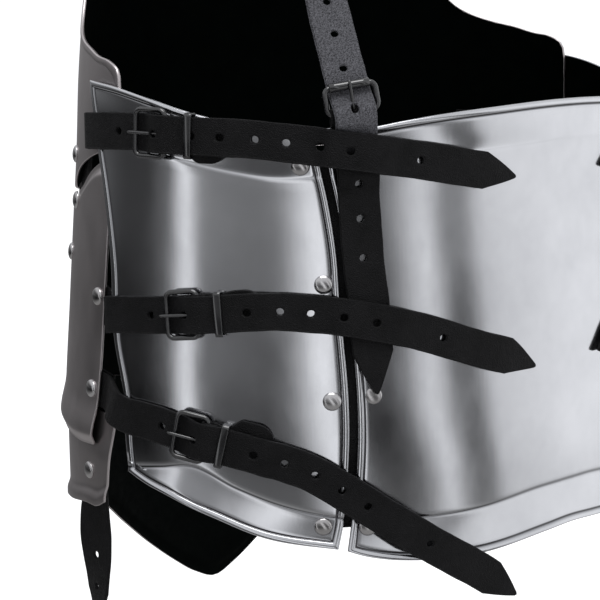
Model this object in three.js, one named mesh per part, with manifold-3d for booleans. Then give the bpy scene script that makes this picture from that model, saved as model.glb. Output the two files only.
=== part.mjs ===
// Steel cuirass for the upper body: breastplate, plackart and fauld lame in front,
// a low back band of three plates, and the buckled leather straps that close it.
// Millimetres. The wearer faces -Y, the wearer's left side is +X, and +Z is up.
// The origin lies on the axis of the trunk, level with the hollow of the waist.
import * as THREE from "three";
import { mergeVertices, toCreasedNormals } from "three/addons/utils/BufferGeometryUtils.js";
import Module from "manifold-3d";

const wasm = await Module();
wasm.setup();

// Trunk: half sizes of its oval outside the front plates, and the unit of every height.
const HALF_WIDTH = 175;
const HALF_DEPTH = 135;
const BAND = 200;
const CHEST_SWELL = 22;

// Steel and leather.
const STEEL = 1.4;
const RIM_WIDTH = 2.6;
const RIM_SLOPE = 1.3;
const RIM_RAISE = 0.8;
const BAND_LAYER = 2.3;
const FLANGE_FLARE = 5;
const LIP_FLARE = 2.6;
const LEATHER = 1.8;
const CHAPE_LEATHER = 1.4;
const GAP = 0.3;
const OPEN_SEAM = 3.4;
const SEAM_LEATHER_WIDTH = 32;

// Straps and their fittings.
const SIDE_STRAP_WIDTH = 18;
const SHOULDER_STRAP_WIDTH = 20;
const CHAPE_SHARE = 0.94;
const TIP_SHARE = 1.5;
const HOLE_RADIUS = 2;
const HOLE_PITCH = 16;
const STRAP_STEP = 16;
const BEND_TOLERANCE = 0.3;
const ROD = 1.1;
const PRONG_ROD = 0.8;
const SIDE_FRAME_LENGTH = 14.8;
const SHOULDER_FRAME_LENGTH = 13.6;
const KEEPER_AT = 10.8;
const KEEPER_WIDTH = 3.6;
const KEEPER_METAL = 1.1;
const CHAPE_LENGTH = 30;
const CHAPE_RIVET_AT = 22;

// Rivets: domed heads outside, a shank, and a flat inner end.
const RIVET_HEAD = 4.3;
const RIVET_RISE = 2.1;
const RIVET_SHANK = 1.7;
const RIVET_SIDES = 6;

function table(columns, rows) {
  const names = columns.split(" ");
  return rows.map((row) => Object.fromEntries(names.map((name, k) => [name, row[k]])));
}

// Oval scale of the trunk at each height; heights are shares of BAND throughout.
const TRUNK = table("rise scale", [
  [-0.6, 1.035], [0, 1.022], [0.22, 1.022], [0.495, 1], [0.72, 0.981], [0.885, 0.967],
  [1.08, 0.955], [1.265, 0.935], [1.5, 0.9], [1.725, 0.85], [1.925, 0.78], [2.1, 0.72],
]);

// Edges of the front plates, from the wearer's left side to the centre; angles run
// round the trunk from +X, so the centre of the chest is at -90 degrees.
const BREAST_TOP = table("angle rise", [
  [-0.8, 1.07], [-1.6, 1.11], [-5, 1.13], [-10.5, 1.14], [-15.3, 1.155], [-21.5, 1.17],
  [-27, 1.19], [-31, 1.215], [-34, 1.25], [-37, 1.31], [-40, 1.4], [-42.5, 1.52],
  [-43.4, 1.65], [-42.5, 1.78], [-41.5, 1.87], [-45, 1.905], [-52, 1.915], [-58, 1.9],
  [-61, 1.84], [-66, 1.76], [-74, 1.705], [-82, 1.68], [-90, 1.675],
]);
const BREAST_LOW = table("angle rise", [
  [-0.8, 0.925], [-10.2, 0.9], [-22, 0.85], [-29, 0.805], [-45, 0.755], [-65, 0.72], [-90, 0.705],
]);
const PLACKART_TOP = table("angle rise", [
  [-3, 0.895], [-9.6, 0.88], [-15.3, 0.85], [-21, 0.81], [-26, 0.79], [-35, 0.79],
  [-50, 0.795], [-70, 0.785], [-90, 0.78],
]);
const PLACKART_STEP = table("angle rise", [
  [-3, 0.872], [-9.6, 0.857], [-21, 0.785], [-27, 0.76], [-40, 0.725], [-65, 0.685], [-90, 0.67],
]);
const PLACKART_SIDE = table("angle rise", [
  [-5.6, 0.185], [-4.9, 0.24], [-4.2, 0.325], [-3.8, 0.405], [-3.6, 0.56], [-3.3, 0.7], [-3, 0.895],
]);
const PLACKART_LOW = table("angle rise", [
  [-5.6, 0.185], [-10, 0.18], [-29, 0.18], [-50, 0.14], [-70, 0.08], [-90, 0.05],
]);
const FAULD_TOP = table("angle rise", [
  [0.2, 0.268], [-30, 0.268], [-50, 0.23], [-70, 0.17], [-90, 0.14],
]);
const FAULD_SIDE = table("angle rise", [
  [-2.2, 0.045], [-1.6, 0.11], [-0.6, 0.19], [0.2, 0.268],
]);
const FAULD_LOW = table("angle rise", [
  [-2.2, 0.045], [-5, 0.02], [-9, 0.022], [-18, 0.01], [-29, -0.01], [-41, -0.06], [-56, -0.165],
  [-64, -0.27], [-72, -0.37], [-79, -0.45], [-85, -0.505], [-90, -0.53],
]);

// Edges of the back band: the side plate and half of the centre plate.
const SIDE_FRONT = table("angle rise", [
  [7.3, 0.155], [6.5, 0.23], [5.6, 0.34], [2, 0.48], [0.1, 0.66], [-4, 0.845],
  [-6.1, 0.915], [-8.5, 1.005], [-10.1, 1.068],
]);
const SIDE_TOP = table("angle rise", [
  [-10.1, 1.068], [0, 1.06], [10.5, 1.045], [17.4, 1.03], [23.1, 1.015], [33, 1], [42.5, 0.993],
]);
const SEAM = table("angle rise", [
  [47.6, 0], [48.3, 0.045], [49.2, 0.18], [49.4, 0.285], [49.2, 0.36], [48.3, 0.5],
  [47.5, 0.595], [47, 0.69], [45.5, 0.81], [43.8, 0.91], [42.5, 0.993],
]);
const SIDE_LOW = table("angle rise", [
  [7.3, 0.155], [12, 0.135], [17.6, 0.115], [25.5, 0.08], [35.6, 0.03], [47.6, 0],
]);
const CENTRE_TOP = table("angle rise", [
  [44, 0.993], [53.3, 0.995], [57.6, 1.005], [66.5, 1.02], [76, 1.03], [84.8, 1.036], [90, 1.037],
]);
const CENTRE_LOW = table("angle rise", [
  [49.1, -0.005], [51.7, -0.018], [55.4, -0.03], [60.9, -0.04], [70.7, -0.045], [84.4, -0.025], [90, -0.02],
]);
const FLANGE_CREASE = table("angle rise", [
  [7, 0.165], [15, 0.18], [22, 0.19], [30, 0.145], [38, 0.105], [47, 0.075], [61, 0.06],
  [72, 0.063], [84, 0.083], [90, 0.085],
]);
const FLANGE_EDGE = table("angle rise", [
  [7, 0.155], [17.6, 0.115], [25.5, 0.08], [35.6, 0.03], [47.6, 0], [55.4, -0.03],
  [61, -0.04], [71, -0.045], [84, -0.025], [90, -0.02],
]);
const TOP_CREASE = table("angle rise", [
  [-10, 0.98], [10, 0.94], [25, 0.915], [36, 0.88], [45, 0.885], [58, 0.91], [71, 0.93], [90, 0.945],
]);
const TOP_FLARE = 0.5;
const HIP = table("angle rise", [[-90, 0.22], [90, 0.22]]);

// Where the straps run on the trunk, from their fixed ends to their tips.
const UPPER_PATH = table("angle rise", [
  [-12.6, 0.955], [-9.9, 0.959], [-4.2, 0.9645], [2.6, 0.97], [8.3, 0.973], [14.4, 0.9725],
  [19.9, 0.971], [25.9, 0.97], [31.6, 0.9665], [36.9, 0.96], [42.1, 0.9525], [47.2, 0.9435],
  [52.3, 0.9335], [57.4, 0.9215], [62.7, 0.9085], [68, 0.8935], [72.5, 0.881], [78.4, 0.8605],
]);
const MIDDLE_PATH = table("angle rise", [
  [-13, 0.565], [-9, 0.555], [-5.5, 0.543], [-0.7, 0.524], [2.2, 0.5285], [5.9, 0.5345],
  [11, 0.541], [15.7, 0.547], [20.9, 0.5545], [26.7, 0.56], [32.2, 0.567], [37.4, 0.5685],
  [42.5, 0.5635], [47.5, 0.5565], [52.5, 0.5425], [57.5, 0.5255], [62.7, 0.5025],
  [67.9, 0.4745], [73.4, 0.4455], [76.3, 0.432], [82.1, 0.3945],
]);
const LOWER_PATH = table("angle rise", [
  [-13, 0.332], [-9, 0.331], [-6, 0.328], [-2.5, 0.324], [1.1, 0.3165], [4.2, 0.301],
  [7.2, 0.292], [11, 0.289], [15.6, 0.2815], [19.8, 0.2685], [24.7, 0.258], [29.8, 0.244],
  [33.7, 0.2315], [37.9, 0.214], [42.7, 0.1895], [47, 0.1535], [51.1, 0.115], [54, 0.085],
  [57.7, 0.048], [61.4, 0.0095], [66.2, -0.039], [70.2, -0.0795], [77.1, -0.1615],
]);
const SHOULDER_FRONT = table("angle rise", [[-56.4, 1.69], [-55.2, 1.75], [-54.3, 1.8], [-53.6, 1.85]]);
// The arch over the shoulder: x, y and z as shares of HALF_WIDTH, HALF_DEPTH and BAND,
// then the way that the strap's outer face looks.
const SHOULDER_ARCH = table("x y z nx ny nz", [
  [0.48, -0.59, 1.955, 0.2, -0.55, 0.8], [0.489, -0.39, 2.02, 0.1, -0.1, 1],
  [0.5, -0.17, 2.015, 0.1, 0.3, 0.95], [0.518, 0.05, 1.935, 0.15, 0.6, 0.8],
  [0.543, 0.245, 1.76, 0.25, 0.8, 0.55], [0.577, 0.4, 1.53, 0.4, 0.85, 0.35],
  [0.605, 0.535, 1.27, 0.5, 0.85, 0.15], [0.621, 0.655, 1.14, 0.55, 0.83, 0.05],
]);
const SHOULDER_BACK = table("angle rise", [
  [48.8, 1.055], [49.1, 1.03], [49.5, 1], [49.7, 0.9425], [50, 0.8875], [50.4, 0.81],
  [50.8, 0.735], [51.3, 0.665], [52, 0.595], [52.4, 0.525], [52.8, 0.475], [53.6, 0.37],
]);
const HANGING_PATH = table("angle rise", [
  [-6.4, 0.37], [-7, 0.3], [-7.8, 0.2], [-8.6, 0.11], [-9.4, 0.04], [-10, -0.02],
  [-9.8, -0.07], [-9.2, -0.12], [-8.8, -0.18], [-8.6, -0.24], [-8.6, -0.31],
]);

function lookup(rows, key, value, at) {
  if (at <= rows[0][key]) return rows[0][value];
  for (let k = 1; k < rows.length; k += 1) {
    const [a, b] = [rows[k - 1], rows[k]];
    if (at <= b[key]) return a[value] + ((b[value] - a[value]) * (at - a[key])) / (b[key] - a[key]);
  }
  return rows[rows.length - 1][value];
}

function smooth(share) {
  const t = Math.min(1, Math.max(0, share));
  return t * t * (3 - 2 * t);
}

const radians = (degrees) => (degrees * Math.PI) / 180;
// The left half's tables serve both halves: an angle is folded to its mirror image.
const folded = (angle) => (angle > 90 ? 180 - angle : angle < -90 ? -180 - angle : angle);
const byAngle = (rows, angle) => lookup(rows, "angle", "rise", folded(angle));
const descending = (rows) => [...rows].reverse();

function trunk(angle, rise, offset) {
  const scale = lookup(TRUNK, "rise", "scale", rise);
  const turn = radians(angle);
  const front = Math.max(0, -Math.sin(turn)) ** 4;
  const swell = CHEST_SWELL * front * Math.sin(Math.PI * Math.min(1, Math.max(0, (rise - 0.15) / 1.75)));
  return new THREE.Vector3(
    (HALF_WIDTH * scale + offset) * Math.cos(turn),
    (HALF_DEPTH * scale + swell + offset) * Math.sin(turn),
    rise * BAND,
  );
}

function trunkNormal(angle, rise) {
  const round = trunk(angle + 0.5, rise, 0).sub(trunk(angle - 0.5, rise, 0));
  const up = trunk(angle, rise + 0.01, 0).sub(trunk(angle, rise - 0.01, 0));
  return round.cross(up).normalize();
}

// How far each plate's middle surface lies outside the trunk's oval.
const breastOffset = () => -STEEL / 2;

function plackartOffset(angle, rise) {
  const step = byAngle(descending(PLACKART_STEP), angle);
  const tuck = -(STEEL + 2 * GAP + 0.4) * smooth((rise - step + 0.012) / 0.024);
  const low = byAngle(descending(PLACKART_LOW), angle);
  const lip = LIP_FLARE * smooth((low + 0.12 - rise) / 0.09);
  const curl = -2.2 * smooth((low + 0.03 - rise) / 0.03);
  return -STEEL / 2 + tuck + lip + curl;
}

function fauldOffset(angle, rise) {
  const low = byAngle(descending(FAULD_LOW), angle);
  const top = byAngle(descending(FAULD_TOP), angle);
  const tuck = -1.8 * smooth((rise - top + 0.12) / 0.1);
  const lip = 1.6 * smooth((low + 0.035 - rise) / 0.03);
  return -2.1 + tuck + lip;
}

function bandOffset(angle, rise) {
  const crease = byAngle(FLANGE_CREASE, angle);
  const edge = byAngle(FLANGE_EDGE, angle);
  const depth = Math.max(0.012, crease - edge);
  const below = Math.max(0, crease - rise) / depth;
  const reach = Math.min(1, depth / 0.1);
  const above = smooth((rise - byAngle(TOP_CREASE, angle) + 0.01) / 0.1);
  return BAND_LAYER + FLANGE_FLARE * reach * Math.min(1.15, below) ** 1.3 + TOP_FLARE * above;
}

// A smooth line through points of any dimension, read by its share of the length.
function line(points, weights) {
  const length = (a, b) => Math.hypot(...a.map((value, k) => (value - b[k]) * weights[k]));
  const steps = points.slice(1).map((point, k) => length(point, points[k]));
  const slopes = points.map((point, k) => {
    const last = points.length - 1;
    const before = k > 0 ? point.map((v, n) => (v - points[k - 1][n]) / steps[k - 1]) : null;
    const after = k < last ? point.map((v, n) => (points[k + 1][n] - v) / steps[k]) : null;
    if (!before) return after;
    if (!after) return before;
    const total = steps[k - 1] + steps[k];
    return before.map((v, n) => (v * steps[k] + after[n] * steps[k - 1]) / total);
  });
  const dense = [points[0]];
  for (let k = 0; k < steps.length; k += 1) {
    for (let part = 1; part <= 8; part += 1) {
      const t = part / 8;
      const [h00, h10] = [2 * t ** 3 - 3 * t * t + 1, t ** 3 - 2 * t * t + t];
      const [h01, h11] = [3 * t * t - 2 * t ** 3, t ** 3 - t * t];
      dense.push(points[k].map((v, n) => h00 * v + h10 * steps[k] * slopes[k][n]
        + h01 * points[k + 1][n] + h11 * steps[k] * slopes[k + 1][n]));
    }
  }
  const reached = [0];
  for (let k = 1; k < dense.length; k += 1) reached.push(reached[k - 1] + length(dense[k], dense[k - 1]));
  const total = reached[reached.length - 1];
  const read = (share) => {
    const target = Math.min(1, Math.max(0, share)) * total;
    let k = 1;
    while (k < reached.length - 1 && reached[k] < target) k += 1;
    const t = (target - reached[k - 1]) / (reached[k] - reached[k - 1]);
    return dense[k - 1].map((v, n) => v + (dense[k][n] - v) * t);
  };
  return { total, read };
}

const FLAT = [HALF_DEPTH * 0.019, BAND];
const flatLine = (rows) => line(rows.map((row) => [row.angle, row.rise]), FLAT);
const mirrored = (rows, turn) => rows.map((row) => ({ angle: turn - row.angle, rise: row.rise }));
// A half edge that ends on the centre line, carried on to the far side.
const whole = (rows, turn) => [...rows, ...descending(mirrored(rows, turn)).slice(1)];

function bodyOf(positions, triangles) {
  let volume = 0;
  for (const [a, b, c] of triangles) {
    volume += positions[a].dot(new THREE.Vector3().crossVectors(positions[b], positions[c]));
  }
  const order = volume < 0 ? triangles.map(([a, b, c]) => [a, c, b]) : triangles;
  return wasm.Manifold.ofMesh(new wasm.Mesh({
    numProp: 3,
    vertProperties: new Float32Array(positions.flatMap((p) => [p.x, p.y, p.z])),
    triVerts: new Uint32Array(order.flat()),
  }));
}

// A closed shell between four edges. rims names the edges that carry a raised border,
// and bends are lines across the shell that its rows follow.
function shell(spec) {
  const { low, high, first, last, columns, rows, offset, thickness, rims, bends = [] } = spec;
  const reach = (a, b) => Math.hypot((a[0] - b[0]) * FLAT[0], (a[1] - b[1]) * FLAT[1]);
  const width = (low.total + high.total) / 2;
  const shares = (count, span, start, end) => {
    const [from, to] = [start ? (RIM_WIDTH + RIM_SLOPE) / span : 0, end ? 1 - (RIM_WIDTH + RIM_SLOPE) / span : 1];
    const list = start ? [[0, 1], [RIM_WIDTH / span, 1]] : [];
    for (let k = 0; k <= count; k += 1) list.push([from + ((to - from) * k) / count, 0]);
    return end ? [...list, [1 - RIM_WIDTH / span, 1], [1, 1]] : list;
  };
  const across = shares(columns, width, rims.includes("first"), rims.includes("last"));
  const corner = [low.read(0), low.read(1), high.read(0), high.read(1)];
  const [outer, inner] = [[], []];
  for (const [u, rimU] of across) {
    const [bottom, top] = [low.read(u), high.read(u)];
    const span = reach(bottom, top);
    const border = RIM_WIDTH + RIM_SLOPE + 0.4;
    const [floor, ceiling] = [rims.includes("low") ? border / span : 0, rims.includes("high") ? 1 - border / span : 1];
    const knots = bends.map((rowsOf) => (byAngle(rowsOf, bottom[0]) - bottom[1]) / (top[1] - bottom[1]))
      .map((share) => Math.min(ceiling - 1 / span, Math.max(floor + 1 / span, share)));
    const upward = shares(0, span, rims.includes("low"), rims.includes("high")).filter(([v], k, all) => (
      bends.length > 0 || k < all.length));
    if (bends.length > 0) {
      const inner_ = [floor, ...knots, ceiling];
      const lowRim = rims.includes("low") ? [[0, 1], [RIM_WIDTH / span, 1]] : [];
      const highRim = rims.includes("high") ? [[1 - RIM_WIDTH / span, 1], [1, 1]] : [];
      upward.splice(0, upward.length, ...lowRim);
      inner_.slice(1).forEach((knot, k) => {
        const parts = Array.isArray(rows) ? rows[k] : rows;
        for (let n = 0; n < parts; n += 1) upward.push([inner_[k] + ((knot - inner_[k]) * n) / parts, 0]);
      });
      upward.push([ceiling, 0], ...highRim);
    } else {
      upward.splice(0, upward.length, ...shares(rows, span, rims.includes("low"), rims.includes("high")));
    }
    for (const [v, rimV] of upward) {
      const [left, right] = [first.read(v), last.read(v)];
      const place = [0, 1].map((n) => bottom[n] * (1 - v) + top[n] * v + left[n] * (1 - u) + right[n] * u
        - (corner[0][n] * (1 - u) * (1 - v) + corner[1][n] * u * (1 - v)
        + corner[2][n] * (1 - u) * v + corner[3][n] * u * v));
      const middle = offset(place[0], place[1]);
      const raise = RIM_RAISE * Math.max(rimU, rimV);
      outer.push(trunk(place[0], place[1], middle + thickness / 2 + raise));
      inner.push(trunk(place[0], place[1], middle - thickness / 2));
    }
  }
  const [countU, countV] = [across.length, outer.length / across.length];
  const at = (u, v) => u * countV + v;
  const back = outer.length;
  const faces = [];
  const quad = (a, b, c, d) => faces.push([a, b, c], [a, c, d]);
  for (let u = 0; u < countU - 1; u += 1) {
    for (let v = 0; v < countV - 1; v += 1) {
      quad(at(u, v), at(u + 1, v), at(u + 1, v + 1), at(u, v + 1));
      quad(back + at(u, v), back + at(u, v + 1), back + at(u + 1, v + 1), back + at(u + 1, v));
    }
    quad(at(u, 0), back + at(u, 0), back + at(u + 1, 0), at(u + 1, 0));
    quad(at(u, countV - 1), at(u + 1, countV - 1), back + at(u + 1, countV - 1), back + at(u, countV - 1));
  }
  for (let v = 0; v < countV - 1; v += 1) {
    quad(at(0, v), at(0, v + 1), back + at(0, v + 1), back + at(0, v));
    quad(at(countU - 1, v), back + at(countU - 1, v), back + at(countU - 1, v + 1), at(countU - 1, v + 1));
  }
  return bodyOf([...outer, ...inner], faces);
}

// A run of stations on the trunk and through the air, read by length from its start.
function track(stations) {
  const run = line(stations.map((s) => [...s.point.toArray(), ...s.normal.toArray()]), [1, 1, 1, 0, 0, 0]);
  const place = (s) => new THREE.Vector3(...run.read(s / run.total));
  const at = (s) => {
    const values = run.read(s / run.total);
    const tangent = place(s + 2).sub(place(s - 2)).normalize();
    const side = new THREE.Vector3(values[3], values[4], values[5]).cross(tangent).normalize();
    const normal = new THREE.Vector3().crossVectors(tangent, side).normalize();
    return { point: place(s), tangent, side, normal };
  };
  const near = (angle, rise) => {
    const goal = trunk(angle, rise, 0);
    let best = 0;
    for (let s = 0; s <= run.total; s += 0.5) {
      if (place(s).distanceTo(goal) < place(best).distanceTo(goal)) best = s;
    }
    return best;
  };
  return { length: run.total, at, near };
}

const onTrunk = (rows) => rows.map((row) => ({
  point: trunk(row.angle, row.rise, 0),
  normal: trunkNormal(row.angle, row.rise),
}));
const inAir = (rows) => rows.map((row) => ({
  point: new THREE.Vector3(row.x * HALF_WIDTH, row.y * HALF_DEPTH, row.z * BAND),
  normal: new THREE.Vector3(row.nx, row.ny, row.nz).normalize(),
}));

// A flat leather band through stations of point, side, width and thickness.
function ribbon(stations, thickness) {
  const positions = [];
  stations.forEach((station, k) => {
    const before = stations[Math.max(0, k - 1)].point;
    const after = stations[Math.min(stations.length - 1, k + 1)].point;
    const tangent = after.clone().sub(before).normalize();
    const normal = new THREE.Vector3().crossVectors(tangent, station.side).normalize();
    for (const [across, up] of [[-1, -1], [1, -1], [1, 1], [-1, 1]]) {
      const point = station.point.clone().addScaledVector(station.side, (across * station.width) / 2);
      positions.push(point.addScaledVector(normal, (up * thickness) / 2));
    }
  });
  const faces = [[0, 1, 2], [0, 2, 3]];
  const end = positions.length - 4;
  faces.push([end, end + 2, end + 1], [end, end + 3, end + 2]);
  for (let k = 0; k < stations.length - 1; k += 1) {
    for (let n = 0; n < 4; n += 1) {
      const [a, b] = [k * 4 + n, k * 4 + ((n + 1) % 4)];
      faces.push([a, a + 4, b + 4], [a, b + 4, b]);
    }
  }
  return bodyOf(positions, faces);
}

function rise(knots, s) {
  if (s <= knots[0][0]) return knots[0][1];
  for (let k = 1; k < knots.length; k += 1) {
    const [[s0, h0], [s1, h1]] = [knots[k - 1], knots[k]];
    if (s <= s1) return h0 + (h1 - h0) * smooth((s - s0) / (s1 - s0));
  }
  return knots[knots.length - 1][1];
}

function rod(from, to, radius, sides) {
  const height = from.distanceTo(to);
  const shape = new THREE.CylinderGeometry(radius, radius, height, sides);
  const turn = new THREE.Quaternion().setFromUnitVectors(
    new THREE.Vector3(0, 1, 0), to.clone().sub(from).normalize());
  const middle = from.clone().add(to).multiplyScalar(0.5);
  shape.applyMatrix4(new THREE.Matrix4().compose(middle, turn, new THREE.Vector3(1, 1, 1)));
  return solidOf(shape);
}

function solidOf(shape) {
  shape.deleteAttribute("normal");
  shape.deleteAttribute("uv");
  const merged = mergeVertices(shape, 1e-4);
  const source = merged.getAttribute("position");
  const positions = Array.from({ length: source.count }, (_, k) => new THREE.Vector3().fromBufferAttribute(source, k));
  const faces = [];
  for (let k = 0; k < merged.index.count; k += 3) {
    faces.push([merged.index.getX(k), merged.index.getX(k + 1), merged.index.getX(k + 2)]);
  }
  return bodyOf(positions, faces.filter(([a, b, c]) => a !== b && b !== c && a !== c));
}

// A box set in a frame of three directions round a point.
function block(frame, size, shift) {
  const shape = new THREE.BoxGeometry(size[0], size[1], size[2]);
  shape.translate(shift[0], shift[1], shift[2]);
  const basis = new THREE.Matrix4().makeBasis(frame.tangent, frame.side, frame.normal);
  shape.applyMatrix4(basis.setPosition(frame.point));
  return solidOf(shape);
}

// A rivet on the trunk: tail and seat are heights over the oval of its inner end and head.
function rivet(point, normal, tail, seat, head, height) {
  const profile = [[0, tail], [RIVET_SHANK, tail], [RIVET_SHANK, seat], [head, seat],
    [head * 0.74, seat + height * 0.72], [0, seat + height]];
  const shape = new THREE.LatheGeometry(profile.map(([x, y]) => new THREE.Vector2(x, y)), RIVET_SIDES);
  const turn = new THREE.Quaternion().setFromUnitVectors(new THREE.Vector3(0, 1, 0), normal);
  shape.applyMatrix4(new THREE.Matrix4().compose(point, turn, new THREE.Vector3(1, 1, 1)));
  return solidOf(shape);
}

const shankHole = (point, normal, from, to) => rod(
  point.clone().addScaledVector(normal, from), point.clone().addScaledVector(normal, to),
  RIVET_SHANK + GAP + 0.1, RIVET_SIDES);

// Lengths at which a bent line is split so that its chords stay close to it.
function spread(spot, from, to) {
  const [a, b] = [spot(from), spot(to)];
  let worst = 0;
  let where = (from + to) / 2;
  for (let k = 1; k < 24; k += 1) {
    const s = from + ((to - from) * k) / 24;
    const on = new THREE.Line3(a, b).closestPointToPoint(spot(s), true, new THREE.Vector3());
    const off = on.distanceTo(spot(s));
    if (off > worst) [worst, where] = [off, s];
  }
  if (worst < BEND_TOLERANCE && to - from < STRAP_STEP * 4) return [to];
  return [...spread(spot, from, where), ...spread(spot, where, to)];
}

// A strap along a track: its lift is a list of length and height over the trunk.
function strap(path, spec) {
  const { width, lift, tip, holes, prong, pins, twist } = spec;
  const from = 0;
  const to = path.length;
  const spot = (s) => {
    const frame = path.at(s);
    return frame.point.addScaledVector(frame.normal, rise(lift, s));
  };
  const stations = [from, ...spread(spot, from, tip ? to - TIP_SHARE * width : to)];
  if (tip) for (const share of [0.6, 0.25, 0]) stations.push(to - TIP_SHARE * width * share);
  const placed = stations.map((s) => {
    const frame = path.at(s);
    const left = tip ? (to - s) / (TIP_SHARE * width) : 1;
    const taper = left >= 1 ? 1 : 0.1 + 0.9 * Math.sin((Math.PI / 2) * Math.max(0, left)) ** 0.9;
    const turned = twist ? frame.side.clone().applyAxisAngle(frame.tangent, radians(rise(twist, s))) : frame.side;
    return { point: frame.point.clone().addScaledVector(frame.normal, rise(lift, s)), side: turned, width: width * taper };
  });
  let body = ribbon(placed, LEATHER);
  const cut = [];
  for (const s of holes) {
    const frame = path.at(s);
    const turned = twist ? frame.normal.clone().applyAxisAngle(frame.tangent, radians(rise(twist, s))) : frame.normal;
    const centre = frame.point.clone().addScaledVector(frame.normal, rise(lift, s));
    cut.push(rod(centre.clone().addScaledVector(turned, -3), centre.clone().addScaledVector(turned, 3), HOLE_RADIUS, 5));
  }
  if (prong) cut.push(rod(prong.root, prong.end, PRONG_ROD + GAP + 0.25, 6));
  for (const pin of pins) cut.push(shankHole(pin.point, pin.normal, pin.from, pin.to));
  for (const tool of cut) body = body.subtract(tool);
  return body;
}

// Where a buckle's two bars lie: the heel bar at length s, the far bar nearer the fixed end.
function buckleFrame(path, heel, frameLength, heelRise, farRise) {
  const [a, b] = [path.at(heel), path.at(heel - frameLength)];
  const heelPoint = a.point.clone().addScaledVector(a.normal, heelRise);
  const farPoint = b.point.clone().addScaledVector(b.normal, farRise);
  const tangent = heelPoint.clone().sub(farPoint).normalize();
  const middle = path.at(heel - frameLength / 2);
  const normal = new THREE.Vector3().crossVectors(tangent, middle.side).normalize();
  const side = new THREE.Vector3().crossVectors(normal, tangent).normalize();
  return { heelPoint, farPoint, tangent, side, normal, length: heelPoint.distanceTo(farPoint) };
}

// A closed loop of round rod through points of a flat frame.
function loop(frame, centre, corners, radius, sides) {
  const points = corners.map(([along, across, up]) => centre.clone()
    .addScaledVector(frame.tangent, along).addScaledVector(frame.side, across).addScaledVector(frame.normal, up));
  const plane = new THREE.Vector3().crossVectors(
    points[1].clone().sub(points[0]), points[2].clone().sub(points[1])).normalize();
  const positions = [];
  const count = points.length;
  points.forEach((point, k) => {
    const tangent = points[(k + 1) % count].clone().sub(points[(k + count - 1) % count]).normalize();
    const outward = new THREE.Vector3().crossVectors(tangent, plane).normalize();
    for (let n = 0; n < sides; n += 1) {
      const turn = (2 * Math.PI * n) / sides;
      positions.push(point.clone().addScaledVector(plane, radius * Math.cos(turn))
        .addScaledVector(outward, radius * Math.sin(turn)));
    }
  });
  const faces = [];
  for (let k = 0; k < count; k += 1) {
    for (let n = 0; n < sides; n += 1) {
      const [a, b] = [k * sides + n, k * sides + ((n + 1) % sides)];
      const [c, d] = [((k + 1) % count) * sides + ((n + 1) % sides), ((k + 1) % count) * sides + n];
      faces.push([a, b, c], [a, c, d]);
    }
  }
  return bodyOf(positions, faces);
}

function buckle(frame, strapWidth, radius) {
  const half = strapWidth / 2 + 0.6 + radius;
  const round = radius * 2.2;
  const corners = [];
  for (const [x, y, start] of [[0, 1, 0], [-frame.length, 1, 90], [-frame.length, -1, 180], [0, -1, 270]]) {
    for (const turn of [10, 80]) {
      const angle = radians(start + turn);
      corners.push([x + (x === 0 ? -round : round) + round * Math.cos(angle),
        y * (half - round) + round * Math.sin(angle), 0]);
    }
  }
  const flatter = { ...frame };
  return loop(flatter, frame.heelPoint, corners, radius, 5);
}

function prongParts(frame, radius) {
  const ringRadius = radius + 0.25 + PRONG_ROD * 0.85;
  const root = frame.heelPoint.clone().addScaledVector(frame.normal, ringRadius - 0.1)
    .addScaledVector(frame.tangent, -0.4);
  const end = frame.farPoint.clone().addScaledVector(frame.normal, radius + GAP + PRONG_ROD)
    .addScaledVector(frame.tangent, -3.2);
  const circle = Array.from({ length: 6 }, (_, k) => {
    const turn = (2 * Math.PI * k) / 6;
    return [ringRadius * Math.cos(turn), 0, ringRadius * Math.sin(turn)];
  });
  const ring = loop(frame, frame.heelPoint, circle, PRONG_ROD * 0.85, 4);
  return { root, end, body: ring.add(rod(root, end, PRONG_ROD, 5)) };
}

// The short leather that holds a buckle: folded round its heel bar and riveted to the plate.
function chape(path, spec) {
  const { heel, width, centre, base, keeper, length, radius } = spec;
  const fold = radius + GAP + CHAPE_LEATHER / 2;
  const steps = [[4.2, centre + fold - 1.8], [0.4, centre + fold]];
  for (const turn of [140, 180, 220]) steps.push([fold * Math.cos(radians(turn)), centre + fold * Math.sin(radians(turn))]);
  steps.push([0, centre - fold], [4, centre - fold - (centre - fold - base) * 0.5]);
  if (keeper) steps.push([7.2, base + 0.5], [8.8, base + 1.5], [12.8, base + 1.5], [15.6, base + 0.4]);
  if (!keeper) steps.push([12, base]);
  const round = width / 2;
  for (const [back, share] of [[1, 1], [0.4, 0.8], [0, 0.25]]) {
    steps.push([length - round * back, base, share]);
  }
  const stations = steps.map(([s, height, share]) => {
    const frame = path.at(heel + s);
    return {
      point: frame.point.clone().addScaledVector(frame.normal, height),
      side: frame.side,
      width: width * (share ?? 1),
    };
  });
  let body = ribbon(stations, CHAPE_LEATHER);
  const slot = path.at(heel);
  body = body.subtract(block(slot, [fold * 2 + 5, PRONG_ROD * 1.7 + 1, fold * 2 + 4], [1, 0, centre]));
  const pin = path.at(heel + CHAPE_RIVET_AT);
  return body.subtract(shankHole(pin.point, pin.normal, base - 3, base + 3));
}

function keeper(path, at, width, from, to) {
  const frame = path.at(at);
  const height = to - from;
  const inside = [KEEPER_WIDTH * 2, width + 2 * GAP + 0.6, height - 2 * KEEPER_METAL];
  const outside = [KEEPER_WIDTH, inside[1] + 2 * KEEPER_METAL, height];
  const centre = [0, 0, (from + to) / 2];
  return block(frame, outside, centre).subtract(block(frame, inside, centre));
}

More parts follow.
